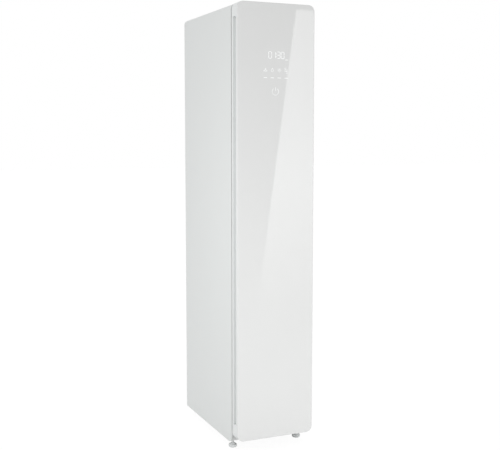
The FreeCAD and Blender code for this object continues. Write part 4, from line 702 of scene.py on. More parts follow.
# %% A scatter
scatter_tree, told = geometry_tree("scatter_of", Piece="Object", Points="Object", Seed="Int")
aim = node(scatter_tree, "GeometryNodeInputNamedAttribute", {"Name": "aim"},
           data_type="FLOAT_VECTOR").outputs[0]
aligned = node(scatter_tree, "FunctionNodeAlignRotationToVector", {"Vector": aim}, axis="Z")
spin = node(scatter_tree, "FunctionNodeRandomValue",
            {2: 0.0, 3: FULL_TURN, "Seed": told["Seed"]}, data_type="FLOAT").outputs[1]
twist = node(scatter_tree, "FunctionNodeAxisAngleToRotation",
             {"Axis": (0, 0, 1), "Angle": spin})
both = node(scatter_tree, "FunctionNodeRotateRotation",
            {0: aligned.outputs[0], 1: twist.outputs[0]}, rotation_space="LOCAL")
copies = node(scatter_tree, "GeometryNodeInstanceOnPoints",
              {"Points": shape_of(scatter_tree, told["Points"]),
               "Instance": shape_of(scatter_tree, told["Piece"]),
               "Rotation": both.outputs[0]})
close_tree(scatter_tree, copies.outputs[0], told)

# %% [markdown]
# A **sweep** carries a round section along a path and closes both ends. The path comes
# in as a curve of straight stretches, made from a list of points.

# %% A sweep
sweep_tree, told = geometry_tree("sweep_of", Path="Object", Radius="Float", Sides="Int")
section = node(sweep_tree, "GeometryNodeCurvePrimitiveCircle",
               {"Resolution": told["Sides"], "Radius": told["Radius"]})
tube = node(sweep_tree, "GeometryNodeCurveToMesh",
            {"Curve": shape_of(sweep_tree, told["Path"]), "Profile Curve": section.outputs[0],
             "Fill Caps": True})
close_tree(sweep_tree, tube.outputs[0], told)
print("trees:", [tree.name for tree in (row_tree, ring_tree, scatter_tree, sweep_tree)])

# %% [markdown]
# Three short functions call these trees, so that a row, a ring or a bent bar takes one
# line further on.

# %% Rows, rings and swept bars
def in_row(slot, piece, count, *step):
    """Copies of a piece, each a step of x, y and z further than the last."""
    return grow(row_tree, slot, Piece=piece, Count=count, Step=step)


def in_ring(slot, piece, count, centre):
    """Copies of a piece set round an upright axis."""
    return grow(ring_tree, slot, Piece=piece, Count=count, Centre=centre)


def swept(slot, path, radius, sides):
    """A round bar along points."""
    curve = bpy.data.curves.new("path", "CURVE")
    curve.dimensions = "3D"
    spline = curve.splines.new("POLY")
    spline.points.add(len(path) - 1)
    for point, spot in zip(spline.points, path):
        point.co = (*spot, 1)
    return grow(sweep_tree, slot, Path=curve, Radius=radius, Sides=sides)

# %% [markdown]
# ## The door
#
# The front is one pane of glass with round corners, painted white on the back. Its
# front edge is ground to a small radius, which catches the light as a fine bright line
# all round. A stack of rounded rectangles gives exactly that: each ring is a little
# further in and a little further forward than the last.

# %% Glass front
MARK_THICK = 0.2 * MM         # the lit marks stand this far proud of the pane
CORNER = 27 * MM
GROUND_EDGE = ((0.0, 2.2), (0.15, 1.7), (0.6, 1.15), (1.4, 0.6), (2.4, 0.18), (3.2, 0.0),
               (4.6, 0.0))    # how far in and how far back, in millimetres

glass_low, glass_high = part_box("door_glass")
corners = (glass_low.x, glass_low.z), (glass_high.x, glass_high.z), CORNER
face_y = glass_low.y + MARK_THICK
rings = [rounded_ring(*corners, glass_high.y)]
rings += [rounded_ring(*corners, face_y + depth * MM, inset * MM) for inset, depth in GROUND_EDGE]
show("glass_front", lofted(rings), "door_glass", "door_glass")

# %% [markdown]
# The display sits behind the glass and shows through it only where it is lit: a time of
# four digits, four programme signs with a short line under each, and the round power
# key. The signs are plain outlines that name nobody. Each is a thin flat plate, half
# of it let into the glass, and gives off a weak white light.

# %% Lit marks on the glass
MARK_DARK, MARK_LIGHT = (0.93, 0.95, 0.95, 1), (1.0, 1.0, 1.0, 1)
MARK_MOTTLE, MARK_GLOW = 300, 0.14

marks_finish = bpy.data.materials.new("display_light_finish")
tree = emptied(marks_finish)
texture = node(tree, "ShaderNodeGroup", node_tree=grain)
texture.inputs["Mottle"].default_value = MARK_MOTTLE
lightness = node(tree, "ShaderNodeValToRGB", {0: texture.outputs["Tone"]})
for stop, colour in zip(lightness.color_ramp.elements, (MARK_DARK, MARK_LIGHT)):
    stop.color = colour
surface = node(tree, "ShaderNodeBsdfPrincipled",
               {"Base Color": lightness.outputs[0], "Emission Color": lightness.outputs[0],
                "Emission Strength": MARK_GLOW, "Roughness": 0.2})
node(tree, "ShaderNodeOutputMaterial", {"Surface": surface.outputs[0]})

# %% [markdown]
# All marks go into one mesh. A mark is a plate with any outline, and a level bar, an arc
# and a slanting stroke are made from it.

# %% Bars, arcs and strokes
marks = bmesh.new()


def mark(*outline):
    """A thin plate in the glass from an outline of (x, z) points in millimetres."""
    front, rear = ([marks.verts.new((x * MM, y, z * MM)) for x, z in outline]
                   for y in (glass_low.y, face_y + MARK_THICK))
    marks.faces.new(front)
    marks.faces.new(rear[::-1])
    for here in range(len(front)):
        after = (here + 1) % len(front)
        marks.faces.new((front[here], rear[here], rear[after], front[after]))


def bar(x, z, width, height):
    """A straight stroke by its centre and size."""
    mark((x - width / 2, z - height / 2), (x + width / 2, z - height / 2),
         (x + width / 2, z + height / 2), (x - width / 2, z + height / 2))


def arc(x, z, radius, stroke, first=0, last=360, steps=28):
    """A curved stroke between two angles in degrees."""
    turns = [math.radians(angle) for angle in spread(first, last, steps)]
    for low, high in zip(turns, turns[1:]):
        mark(*[(x + reach * math.cos(turn), z + reach * math.sin(turn))
               for reach, turn in ((radius - stroke, low), (radius, low),
                                   (radius, high), (radius - stroke, high))])


def stroke(first, last, width):
    """A straight stroke between two points."""
    run = Vector((last[0] - first[0], last[1] - first[1])).normalized() * width / 2
    mark((first[0] - run.y, first[1] + run.x), (first[0] + run.y, first[1] - run.x),
         (last[0] + run.y, last[1] - run.x), (last[0] - run.y, last[1] + run.x))

# %% [markdown]
# The figures of the time are made of seven segments, as on any clock, with a colon
# between hours and minutes. A small ring and a bar stand beside them.

# %% The time
SEGMENTS = {"0": "abcdef", "1": "bc", "3": "abcdg"}
DIGIT_WIDTH, DIGIT_HEIGHT, DIGIT_STROKE = 13, 26, 2.4
TIME_LEVEL, TIME_PLACES = 1642, ((-29, "0"), (-11, "1"), (9, "3"), (27, "0"))
COLON_X, COLON_DOT = -1, 2.6
RING_LEVEL = TIME_LEVEL - 18                   # a small ring and bar beside the figures


def digit(x, z, shown):
    """One seven-segment figure."""
    half, quarter = DIGIT_WIDTH / 2, DIGIT_HEIGHT / 4
    long, wide = DIGIT_HEIGHT / 2 - DIGIT_STROKE, DIGIT_WIDTH - DIGIT_STROKE
    places = {"a": (0, 2 * quarter), "d": (0, -2 * quarter), "g": (0, 0),
              "b": (half, quarter), "c": (half, -quarter),
              "e": (-half, -quarter), "f": (-half, quarter)}
    for letter in SEGMENTS[shown]:
        across, up = places[letter]
        level = letter in "adg"
        bar(x + across, z + up, wide if level else DIGIT_STROKE, DIGIT_STROKE if level else long)


for x, shown in TIME_PLACES:
    digit(x, TIME_LEVEL, shown)
for up in (-5, 5):
    bar(COLON_X, TIME_LEVEL + up, COLON_DOT, COLON_DOT)
arc(43, RING_LEVEL, 3.5, 1.2, steps=16)
stroke((50, RING_LEVEL - 3.5), (50, RING_LEVEL + 3.5), 1.4)

# %% [markdown]
# The four signs are a hanger, a drop, a sun and waves of air, drawn with the same three
# functions. Under them is the power key: a ring with a gap at the top and a bar in it.

# %% Signs and power key
SIGN_LEVEL, LINE_LEVEL, SIGN_STROKE = 1582, 1551, 1.5
SIGN_PLACES = (-50, -19, 12, 43)
for x in SIGN_PLACES:
    bar(x, LINE_LEVEL, 15, 2.4)
hanger_x, drop_x, sun_x, waves_x = SIGN_PLACES
arc(hanger_x, SIGN_LEVEL + 5, 2.6, SIGN_STROKE, -90, 180, 12)
for side in (-1, 1):
    stroke((hanger_x, SIGN_LEVEL + 2), (hanger_x + side * 8.5, SIGN_LEVEL - 5), SIGN_STROKE)
stroke((hanger_x - 8.5, SIGN_LEVEL - 5), (hanger_x + 8.5, SIGN_LEVEL - 5), SIGN_STROKE)
arc(drop_x, SIGN_LEVEL - 2, 5.5, SIGN_STROKE, -210, 30, 20)
for side in (-1, 1):
    stroke((drop_x + side * 4.4, SIGN_LEVEL + 0.6), (drop_x, SIGN_LEVEL + 8.5), SIGN_STROKE)
arc(sun_x, SIGN_LEVEL, 3.8, SIGN_STROKE, steps=20)
for turn in range(0, 360, 45):
    ray = Vector((math.cos(math.radians(turn)), math.sin(math.radians(turn))))
    stroke(*[Vector((sun_x, SIGN_LEVEL)) + ray * reach for reach in (5.4, 8.4)], SIGN_STROKE)
for up in (-6, 0, 6):
    arc(waves_x - 3.6, SIGN_LEVEL + up, 4.2, SIGN_STROKE, 20, 160, 10)
    arc(waves_x + 3.6, SIGN_LEVEL + up - 1.4, 4.2, SIGN_STROKE, 200, 340, 10)

POWER_X, POWER_LEVEL, POWER_RADIUS = -5, 1496, 15
arc(POWER_X, POWER_LEVEL, POWER_RADIUS, 1.5, 125, 415, 40)
bar(POWER_X, POWER_LEVEL + 10, 1.6, 14)

marks_mesh = mesh_from(marks)
show("display_marks", marks_mesh, "door_glass")
marks_mesh.materials[0] = marks_finish
print("marks from", round(glass_low.y, 4), "to", round(face_y + MARK_THICK, 4))

# %% [markdown]
# Behind the pane, mouldings close the door's four edges. The left one has the finger
# groove that opens the door. They are moulded to the shape the solids already have, so
# they only need their edges eased. The same goes for the display board, the foam core
# and the lining.

# %% Door mouldings and lining
for name, width in (("door_grip_rail", 1.2), ("door_hinge_rail", 1.5), ("door_top_cap", 1.5),
                    ("door_bottom_cap", 1.5), ("door_inner_panel", 1.0), ("display_board", 0.3),
                    ("door_core", 1.0), ("hinge_bushes", 0.3), ("press_brackets", 0.8)):
    softened(name, width * MM)

# %% [markdown]
# The display board carries its lamps on the side towards the glass; behind, in the
# foam's pocket, it has its chips, a plug socket and a row of small resistors.

# %% Parts on the display board
CHIPS = ((-30, 40, 20, 20, 1.6), (15, 60, 14, 10, 1.4), (22, 120, 12, 26, 1.4),
         (-40, 190, 26, 9, 6.5), (20, 180, 9, 6, 2.4),
         (-42, 20, 2, 1.3, 0.6))         # x, height, width, tall, thick; the last one in a row
RESISTORS, RESISTOR_GAP = 16, 5.4 * MM


def block(low, high):
    """A box between two corners, with its faces outwards."""
    work = bmesh.new()
    bmesh.ops.create_cube(work, size=1.0)
    low, high = Vector(low), Vector(high)
    bmesh.ops.transform(work, matrix=Matrix.Translation((low + high) / 2)
                        @ Matrix.Diagonal((*(high - low), 1)), verts=work.verts)
    return mesh_from(work)


board_low, board_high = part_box("display_board")
*chips, resistor = [block((x * MM, board_high.y, board_low.z + z * MM),
                          ((x + wide) * MM, board_high.y + thick * MM,
                           board_low.z + (z + tall) * MM)) for x, z, wide, tall, thick in CHIPS]
chips.append(in_row("pump_plastic", resistor, RESISTORS, RESISTOR_GAP, 0, 0))
show("display_board_parts", joined(*chips), "display_board", slot="pump_plastic")

# %% [markdown]
# The seal is one endless rubber section with a magnet in its bulb and a soft bellows
# between bulb and door. Its section is a closed outline of (how far out, how far back)
# points. Each of these becomes one rounded rectangle round the door's rear, and the
# rings joined in a loop are the seal.

# %% Door seal
SEAL_SECTION = ((0.06, 0.00), (0.94, 0.00), (1.00, 0.14), (0.80, 0.26), (0.97, 0.38), (0.82, 0.50),
                (1.00, 0.62), (1.00, 0.86), (0.86, 1.00), (0.14, 1.00), (0.00, 0.86),
                (0.00, 0.62), (0.18, 0.50), (0.03, 0.38), (0.20, 0.26), (0.00, 0.14))
SEAL_CORNER = 22 * MM
SEAL_WIDTH = 12 * MM

seal_low, seal_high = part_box("door_gasket")
rings = [rounded_ring((seal_low.x, seal_low.z), (seal_high.x, seal_high.z), SEAL_CORNER,
                      seal_low.y + back * (seal_high.y - seal_low.y), (1 - out) * SEAL_WIDTH, 10)
         for out, back in SEAL_SECTION]
show("door_seal", lofted(rings, loop=True), "door_gasket", "door_gasket")

# %% [markdown]
# ## The case
#
# A ridge pressed into sheet or moulded into plastic has a half-oval section and round
# ends. One function makes it between any two points. Most of the stiffening on this
# cabinet, inside and out, is a row of such ridges.

# %% Ridges
RIDGE_ENDS = ((0.0, 0.03), (0.25, 0.66), (0.6, 0.92), (1.2, 1.0))   # distance in halves, swell
HALF_TURN = spread(0, math.pi, 8)


def ridge(first, last, across, out, half, proud):
    """A ridge on a surface; across and out are unit vectors, sizes in metres."""
    first, last = Vector(first), Vector(last)
    run = last - first
    stations = [(away * half, swell) for away, swell in RIDGE_ENDS]
    stations += [(run.length - away, swell) for away, swell in reversed(stations)]
    return lofted([[first + run.normalized() * away
                    + across * half * swell * math.cos(turn)
                    + out * proud * swell * math.sin(turn) for turn in HALF_TURN]
                   for away, swell in stations])

# %% [markdown]
# The rear panel is one large flat sheet, so the maker presses long upright beads into
# it to stop it drumming. Its service cover has a hood over each air slot, which keeps
# dripping water out: a curved sheet that leaves the panel above the slot and ends in a
# lip over its lower part. Both are rows.

# %% Rear beads and louvre hoods
panel_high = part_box("rear_panel")[1]
cover_low, cover_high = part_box("service_cover")
BEAD_HALF, BEAD_PROUD = 7 * MM, 2 * MM
BEAD_SIDE, BEAD_COUNT = 105 * MM, 4
BEAD_FOOT, BEAD_HEAD = 70 * MM, 110 * MM       # above the cover, below the panel's top

bead = ridge((-BEAD_SIDE, panel_high.y, cover_high.z + BEAD_FOOT),
             (-BEAD_SIDE, panel_high.y, panel_high.z - BEAD_HEAD), X, Y, BEAD_HALF, BEAD_PROUD)
show("rear_panel_beads", in_row("galvanised_steel", bead, BEAD_COUNT,
                                2 * BEAD_SIDE / (BEAD_COUNT - 1), 0, 0), "rear_panel")

LOUVRES, LOUVRE_PITCH = 12, 22 * MM
LOUVRE_FIRST = cover_low.z + 45 * MM           # lower edge of the lowest slot
LOUVRE_TALL, LOUVRE_HALF = 6 * MM, 107 * MM
HOOD_PROUD, HOOD_SHEET, HOOD_END = 2.4 * MM, 0.5 * MM, 5 * MM
HOOD_ABOVE = 2.5 * MM         # the hood leaves the panel this far above the slot
HOOD_OPENS = 2.2 * MM         # of the slot's height stays open under the lip
HOOD_LEAST = 0.05 * MM
HOOD_STEPS = 6


def hood_ring(x, swell):
    """The hood's section: out along the outer curve and back along the inner one."""
    top = LOUVRE_FIRST + LOUVRE_TALL + HOOD_ABOVE
    lip = LOUVRE_FIRST + HOOD_OPENS
    ring = []
    for gap, steps in ((0, range(HOOD_STEPS + 1)), (HOOD_SHEET, range(HOOD_STEPS, -1, -1))):
        for step in steps:
            turn = math.pi / 2 * step / HOOD_STEPS
            ring.append(Vector((x, cover_high.y + max(HOOD_PROUD * swell - gap, HOOD_LEAST)
                                * math.sin(turn), lip + (top - gap - lip) * math.cos(turn))))
    return ring


hood = lofted([hood_ring(side * (LOUVRE_HALF - away), swell) for side, away, swell in
               ((-1, 0, 0.05), (-1, HOOD_END / 2, 0.75), (-1, HOOD_END, 1.0),
                (1, HOOD_END, 1.0), (1, HOOD_END / 2, 0.75), (1, 0, 0.05))])
show("service_cover_hoods", in_row("galvanised_steel", hood, LOUVRES, 0, 0, LOUVRE_PITCH),
     "service_cover")

# %% [markdown]
# All the case's screws are the same pan-head screw with a cross recess. The node already
# holds them as separate plain solids, so their places and directions are read from its
# loose parts. The scatter tree then sets one modelled screw on each point, aims it along
# the attribute and gives it a random turn, as a screwdriver would.

# %% Screws
SCREW_SECTION = [(radius, level, level) for radius, level in (
    (0.0, -8.0), (1.2, -7.6), (1.9, -6.6), (1.9, -0.3), (3.9, -0.01),
    (4.0, 0.4), (3.8, 1.0), (3.3, 1.5), (2.7, 1.8), (2.2, 1.95))]
SCREW_SECTION += [(2.0, 1.98, 0.9), (0.8, 2.0, 0.6), (0.0, 0.6, 0.6)]
# Each entry is a radius, a level and the level in the arms of the cross.
SCREW_STEPS = 32
ARM_EVERY, ARM_WIDE = 8, 1    # steps between the cross's arms, and on each side of an arm
HEAD_THICK = 2 * MM


def loose_parts(name):
    """The boxes of a node's separate solids, as (low, high) corners."""
    work = welded(name)
    boxes, waiting = [], set(work.verts)
    while waiting:
        part, edge = set(), [waiting.pop()]
        while edge:
            here = edge.pop()
            part.add(here)
            near = {link.other_vert(here) for link in here.link_edges} & waiting
            waiting -= near
            edge += near
        boxes.append([Vector([pick(vertex.co[axis] for vertex in part) for axis in range(3)])
                      for pick in (min, max)])
    work.free()
    return sorted(boxes, key=lambda box: tuple(round(edge, 5) for edge in box[0]))


def screws_at(places, aims, seed):
    """Pan-head screws at several places, each aimed along its own vector."""
    points = bpy.data.meshes.new("screw_points")
    points.from_pydata(places, [], [])
    facing = points.attributes.new("aim", "FLOAT_VECTOR", "POINT")
    facing.data.foreach_set("vector", [part for aim in aims for part in aim])
    return grow(scatter_tree, "hinge_steel", Piece=screw, Points=points, Seed=seed)


in_arm = [(step + ARM_WIDE) % ARM_EVERY <= 2 * ARM_WIDE for step in range(SCREW_STEPS)]
screw = lofted([[Vector((radius * math.cos(turn), radius * math.sin(turn),
                         sunk if arm else level)) * MM
                 for turn, arm in zip(spread(0, FULL_TURN, SCREW_STEPS), in_arm)]
                for radius, level, sunk in SCREW_SECTION])
seats, aims = [], []
for low, high in loose_parts("case_screws"):
    aim = 1 if low.y > 0 else -1
    seat = high.y - HEAD_THICK if aim > 0 else low.y + HEAD_THICK
    seats.append(((low.x + high.x) / 2, seat, (low.z + high.z) / 2))
    aims.append((0, aim, 0))
show("case_screws_set", screws_at(seats, aims, 7), "case_screws", "case_screws")
print(len(seats), "screws")

# %% [markdown]
# The mains lead enters through a rubber grommet in the rear panel. The grommet has a
# wide flange outside and two soft rings, and lies on its side, so the lathe shape is
# made upright first and then tipped over.

# %% Mains grommet
inlet_low, inlet_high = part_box("power_inlet")
inlet = middle("power_inlet")
inlet_long = (inlet_high.y - inlet_low.y) / MM
INLET_SECTION = ((4.0, 0.0), (8.4, 0.0), (9.0, 1.0), (9.0, inlet_long - 2.0),
                 (12.0, inlet_long - 2.0), (12.0, inlet_long - 0.8), (10.5, inlet_long),
                 (8.5, inlet_long - 0.5), (7.0, inlet_long), (5.0, inlet_long - 0.4),
                 (4.0, inlet_long - 1.0))
grommet = turned(in_mm(INLET_SECTION), (0, 0), loop=True)
grommet.transform(Matrix.Translation((inlet.x, inlet_low.y, inlet.z))
                  @ Matrix.Rotation(-math.pi / 2, 4, "X"))
show("mains_grommet", grommet, "power_inlet", "power_inlet")

# %% [markdown]
# ## Feet
#
# Each foot is a plastic pad on a threaded stud. Fingers turn the pad, so it has a ribbed
# rim: one small ridge, set round in a ring. A six-sided collar takes a spanner, and the
# stud above it carries a thread, which is a rod whose radius depends on height and angle
# together.

# %% Levelling feet
PAD_RADIUS, PAD_TALL, PAD_EDGE = 17.5 * MM, 12.5 * MM, 1.5 * MM
RIB_PROUD, RIB_HALF, RIB_COUNT = 0.7 * MM, 1.1 * MM, 28
COLLAR_RADIUS, COLLAR_TALL, COLLAR_SIDES = 11 * MM, 4 * MM, 6
STUD_RADIUS, THREAD_DEEP, THREAD_PITCH = 5 * MM, 0.55 * MM, 1.5 * MM
THREAD_STEPS, THREAD_RINGS = 20, 4             # round the stud, and per turn of the thread


def threaded(centre, low, high):
    """A rod with a thread: the crest winds once round it for every pitch of height."""
    rings = []
    for height in spread(low, high, round((high - low) / THREAD_PITCH * THREAD_RINGS)):
        ring = []
        for step in range(THREAD_STEPS):
            turn = FULL_TURN * step / THREAD_STEPS
            phase = (height / THREAD_PITCH - step / THREAD_STEPS) % 1.0
            radius = STUD_RADIUS - THREAD_DEEP * abs(2 * phase - 1)
            ring.append(Vector((centre.x + radius * math.cos(turn),
                                centre.y + radius * math.sin(turn), height)))
        rings.append(ring)
    return lofted(rings)


def foot_shape(name):
    """Pad, ribs, collar and stud of one foot, where its node stands."""
    centre = middle(name)
    low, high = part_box(name)
    core, top = PAD_RADIUS - RIB_PROUD, low.z + PAD_TALL
    collar_top = top + COLLAR_TALL
    pad = turned([(0, low.z), (core - PAD_EDGE, low.z), (core, low.z + PAD_EDGE),
                  (core, top - PAD_EDGE), (core - PAD_EDGE, top), (COLLAR_RADIUS, top), (0, top)],
                 centre)
    rib = ridge((centre.x + core, centre.y, low.z + PAD_EDGE),
                (centre.x + core, centre.y, top - PAD_EDGE), Y, X, RIB_HALF, RIB_PROUD)
    ribs = in_ring(slot_of[name], rib, RIB_COUNT, centre)
    collar = turned([(0, top), (COLLAR_RADIUS, top), (COLLAR_RADIUS, collar_top - PAD_EDGE / 3),
                     (COLLAR_RADIUS - PAD_EDGE / 2, collar_top), (0, collar_top)],
                    centre, steps=COLLAR_SIDES)
    return joined(pad, ribs, collar, threaded(centre, collar_top, high.z))


for name in ("front_left_foot", "front_right_foot", "rear_left_foot", "rear_right_foot"):
    show(name + "_turned", foot_shape(name), name, name)

# %% [markdown]
# ## The chamber
#
# Vacuum-formed walls are thin, so they have shallow upright ribs, which also hold the
# clothes off the walls and let the steam past. The ribs start above the shelf's travel.

# %% Ribs of the lining
RIB_FOOT, RIB_HEAD = 0.62, 1.60                # heights of the ribs' ends
WALL_RIB_HALF, WALL_RIB_PROUD = 4 * MM, 1.4 * MM
SIDE_RIBS, REAR_RIBS = 9, 4
RIB_MARGIN = 45 * MM

floor_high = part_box("cavity_floor")[1]
cavity_side, cavity_rear = floor_high.x, floor_high.y
first_y, last_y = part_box("inner_liner")[0].y + RIB_MARGIN, cavity_rear - RIB_MARGIN
first_x = RIB_MARGIN - cavity_side


def wall_rib(x, y, across, out):
    """One upright rib of the lining."""
    return ridge((x, y, RIB_FOOT), (x, y, RIB_HEAD), across, out, WALL_RIB_HALF, WALL_RIB_PROUD)


ribs = [in_row("chamber_lining", wall_rib(side * cavity_side, first_y, Y, -side * X), SIDE_RIBS,
               0, (last_y - first_y) / (SIDE_RIBS - 1), 0) for side in (-1, 1)]
ribs.append(in_row("chamber_lining", wall_rib(first_x, cavity_rear, X, -Y), REAR_RIBS,
                   -2 * first_x / (REAR_RIBS - 1), 0, 0))
show("chamber_wall_ribs", joined(*ribs), "inner_liner")

# %% [markdown]
# The lamp is a frosted lens with a stepped rim, and is lit. The steam nozzle is a turned metal
# button with a raised lip round its hole. Both are short profiles on the lathe.

# %% Lamp and steam nozzle
LAMP_SECTION = ((0.0, 0.0), (0.34, 0.02), (0.36, 0.10), (0.40, 0.10), (0.42, 0.04), (0.62, 0.10),
                (0.64, 0.20), (0.68, 0.20), (0.70, 0.14), (0.80, 0.24), (0.83, 0.38),
                (0.88, 0.38), (0.90, 0.22), (0.97, 0.34), (1.0, 0.62), (1.0, 1.0), (0.0, 1.0))


def filling(low, high, section, steps=48):
    """A lathe shape that fills a box; its section is in shares of half width and height."""
    return turned([(radius * (high.x - low.x) / 2, low.z + level * (high.z - low.z))
                   for radius, level in section], (low + high) / 2, steps=steps)


show("chamber_lamp", filling(*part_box("led_lamp"), LAMP_SECTION), "led_lamp", "led_lamp")

nozzle_foot, nozzle_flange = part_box("steam_nozzle")[0].z, floor_high.z
NOZZLE_PIPE = ((4.0, nozzle_foot), (6.0, nozzle_foot), (6.0, nozzle_flange))
NOZZLE_TOP = ((12.0, 0.0), (12.0, 1.4), (11.0, 2.2), (9.4, 2.6), (9.0, 5.6), (8.0, 6.8),
              (7.6, 8.0), (5.4, 8.0), (4.6, 7.2), (4.0, 6.0))
nozzle = turned([(radius * MM, level) for radius, level in NOZZLE_PIPE]
                + in_mm(NOZZLE_TOP, nozzle_flange), middle("steam_nozzle"), loop=True)
show("steam_outlet", nozzle, "steam_nozzle", "steam_nozzle")

# %% [markdown]
# A suit hanger is broad at the shoulders and slim at the neck, and its arms fall in a
# gentle curve. Oval sections from one tip to the other give that shape.

# %% Hanger shoulders
bar_middle = Vector((0.0, 0.030, 1.655))       # the hanger bar's centre line
SHOULDER_HALF, SHOULDER_TOP, SHOULDER_TIP = 205 * MM, 60 * MM, 126 * MM   # below the bar
SHOULDER_UNDER, TIP_UNDER, UNDER_FLAT = 88.8 * MM, 150 * MM, 181 * MM
CROWN = 14 * MM
ARM_NARROW, ARM_WIDE_HALF = 6.5 * MM, 12 * MM
SHOULDER_STATIONS, OVAL_STEPS, SQUARENESS = 36, 16, 0.75
TIP_ROUND = 0.06              # the last share of an arm, where its tip rounds off
TIP_LEAST = 0.02              # the share of its size that the very end keeps


def squared(number):
    """A cosine or sine pulled towards a rounded square."""
    return math.copysign(abs(number) ** SQUARENESS, number)


def shoulder_shape(x):
    """The moulded part of a hanger at one place along the bar."""
    rings = []
    for station in range(-SHOULDER_STATIONS, SHOULDER_STATIONS + 1):
        share = math.sin(math.pi / 2 * station / SHOULDER_STATIONS)
        away = abs(share) * SHOULDER_HALF
        fall = max(0.0, (away - CROWN) / (SHOULDER_HALF - CROWN))
        top = SHOULDER_TOP + (SHOULDER_TIP - SHOULDER_TOP) * fall
        under = SHOULDER_UNDER + (TIP_UNDER - SHOULDER_UNDER) * min(1.0, away / UNDER_FLAT)
        past = max(0.0, (abs(share) - 1 + TIP_ROUND) / TIP_ROUND)
        closing = max(math.sqrt(max(0.0, 1 - past * past)), TIP_LEAST)
        wide = (ARM_NARROW + (ARM_WIDE_HALF - ARM_NARROW) * fall ** 2) * closing
        tall = (under - top) / 2 * closing
        centre = Vector((x, bar_middle.y + share * SHOULDER_HALF,
                         bar_middle.z - (top + under) / 2))
        rings.append([centre + X * wide * squared(math.cos(turn)) + Z * tall * squared(math.sin(turn))
                      for turn in spread(0, FULL_TURN, OVAL_STEPS)[:-1]])
    return lofted(rings)

# %% [markdown]
# The hook is a bent wire: an arc over the bar, a short straight stretch, and a soft bend
# down into the crown. The path is a list of points that the sweep tree turns into a round
# bar. A small turned collar closes the place where it goes in.

# %% Hanger hooks
WIRE, WIRE_SIDES, RING_RADIUS = 2.2 * MM, 14, 11.5 * MM
HOOK_START, HOOK_LEAVES = math.radians(200), math.radians(-30)
HOOK_STEPS, HOOK_SUNK = 30, 6 * MM
KNEE_FROM, KNEE_TO = 0.7, 0.12                 # where the wire's bend begins and ends
COLLAR_SECTION = ((0, -2), (6.2, -2), (5.2, 3), (3.4, 5), (0, 5))   # from the shoulders' top


def hook_shape(x):
    """The wire hook over the bar, down to the hanger's crown."""
    centre = Vector((x, bar_middle.y, bar_middle.z))
    path = [centre + (Y * math.cos(turn) + Z * math.sin(turn)) * RING_RADIUS
            for turn in spread(HOOK_START, HOOK_LEAVES, HOOK_STEPS)]
    slope = Vector((0, math.sin(HOOK_LEAVES), -math.cos(HOOK_LEAVES)))
    knee = path[-1] + slope * ((path[-1].y - centre.y) / -slope.y)
    foot = Vector((x, centre.y, centre.z - SHOULDER_TOP - HOOK_SUNK))
    before, after = path[-1].lerp(knee, KNEE_FROM), knee.lerp(foot, KNEE_TO)
    path += [before.lerp(knee, share).lerp(knee.lerp(after, share), share)
             for share in spread(0, 1, 4)]
    return swept("hinge_steel", path + [foot], WIRE, WIRE_SIDES)


for name in ("hanger_left", "hanger_right"):
    x = middle(name).x
    collar = turned(in_mm(COLLAR_SECTION, bar_middle.z - SHOULDER_TOP), (x, bar_middle.y), steps=24)
    show(name + "_shoulders", joined(shoulder_shape(x), collar), name, name)
    show(name + "_hook", hook_shape(x), name, slot="hinge_steel")

# %% [markdown]
# The trouser press is a plate with rows of low ridges that grip the cloth. The lint
# filter is a frame with a fine woven mesh: two rows of thin wires that cross. The frame's
# bars are thin, so its edges are eased less than those of other plastic.

# %% Press ridges and filter mesh
PRESS_PINS = 15 * MM          # the plate's pins make its box this much longer at each end
PRESS_MARGIN, PRESS_RIDGES = 16 * MM, 26

press_low, press_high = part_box("press_plate")
ridge_low = press_low.z + PRESS_PINS + PRESS_MARGIN
ridge_high = press_high.z - PRESS_PINS - PRESS_MARGIN
press_ridge = ridge((press_low.x + PRESS_MARGIN, press_high.y, ridge_low),
                    (press_high.x - PRESS_MARGIN, press_high.y, ridge_low),
                    Z, Y, half=3.0 * MM, proud=0.8 * MM)
show("press_grip_ridges", in_row("press_pad", press_ridge, PRESS_RIDGES, 0, 0,
                                 (ridge_high - ridge_low) / (PRESS_RIDGES - 1)), "press_plate")

filter_low, filter_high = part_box("lint_filter")
MESH_LEVEL = filter_high.z - 13.5 * MM         # just under the flange's upper face
MESH_INSET, MESH_GAP, WIRE_HALF = 9 * MM, 2.4 * MM, 0.25 * MM


def wire(first, last, across):
    """A thin four-sided wire."""
    return lofted([[place + across * WIRE_HALF, place + Z * WIRE_HALF,
                    place - across * WIRE_HALF, place - Z * WIRE_HALF]
                   for place in (Vector(first), Vector(last))])


left, right = filter_low.x + MESH_INSET, filter_high.x - MESH_INSET
front, rear = filter_low.y + MESH_INSET, filter_high.y - MESH_INSET
long_way = in_row("grey_plastic", wire((left, front, MESH_LEVEL), (left, rear, MESH_LEVEL), X),
                  int((right - left) / MESH_GAP), MESH_GAP, 0, 0)
cross_way = in_row("grey_plastic", wire((left, front, MESH_LEVEL), (right, front, MESH_LEVEL), Y),
                   int((rear - front) / MESH_GAP), 0, MESH_GAP, 0)
show("lint_filter_mesh", joined(long_way, cross_way), "lint_filter")
softened("lint_filter", 0.4 * MM)

# %% [markdown]
# A moulded or cast box is never quite plain either. It has a band where two halves or a
# box and its lid meet, and upright ribs that stiffen its flat walls. Two functions add
# these to any box: the band is a skin over rounded rectangles, and the ribs are rows.

# %% Bands and ribs for boxes
BAND = ((0, -0.3), (0, 0.7), (0.2, 1.0), (0.8, 1.0), (1.0, 0.7), (1.0, -0.3))   # rise, swell
BOX_RIB_HALF, BOX_RIB_PROUD = 1.6 * MM, 1.2 * MM


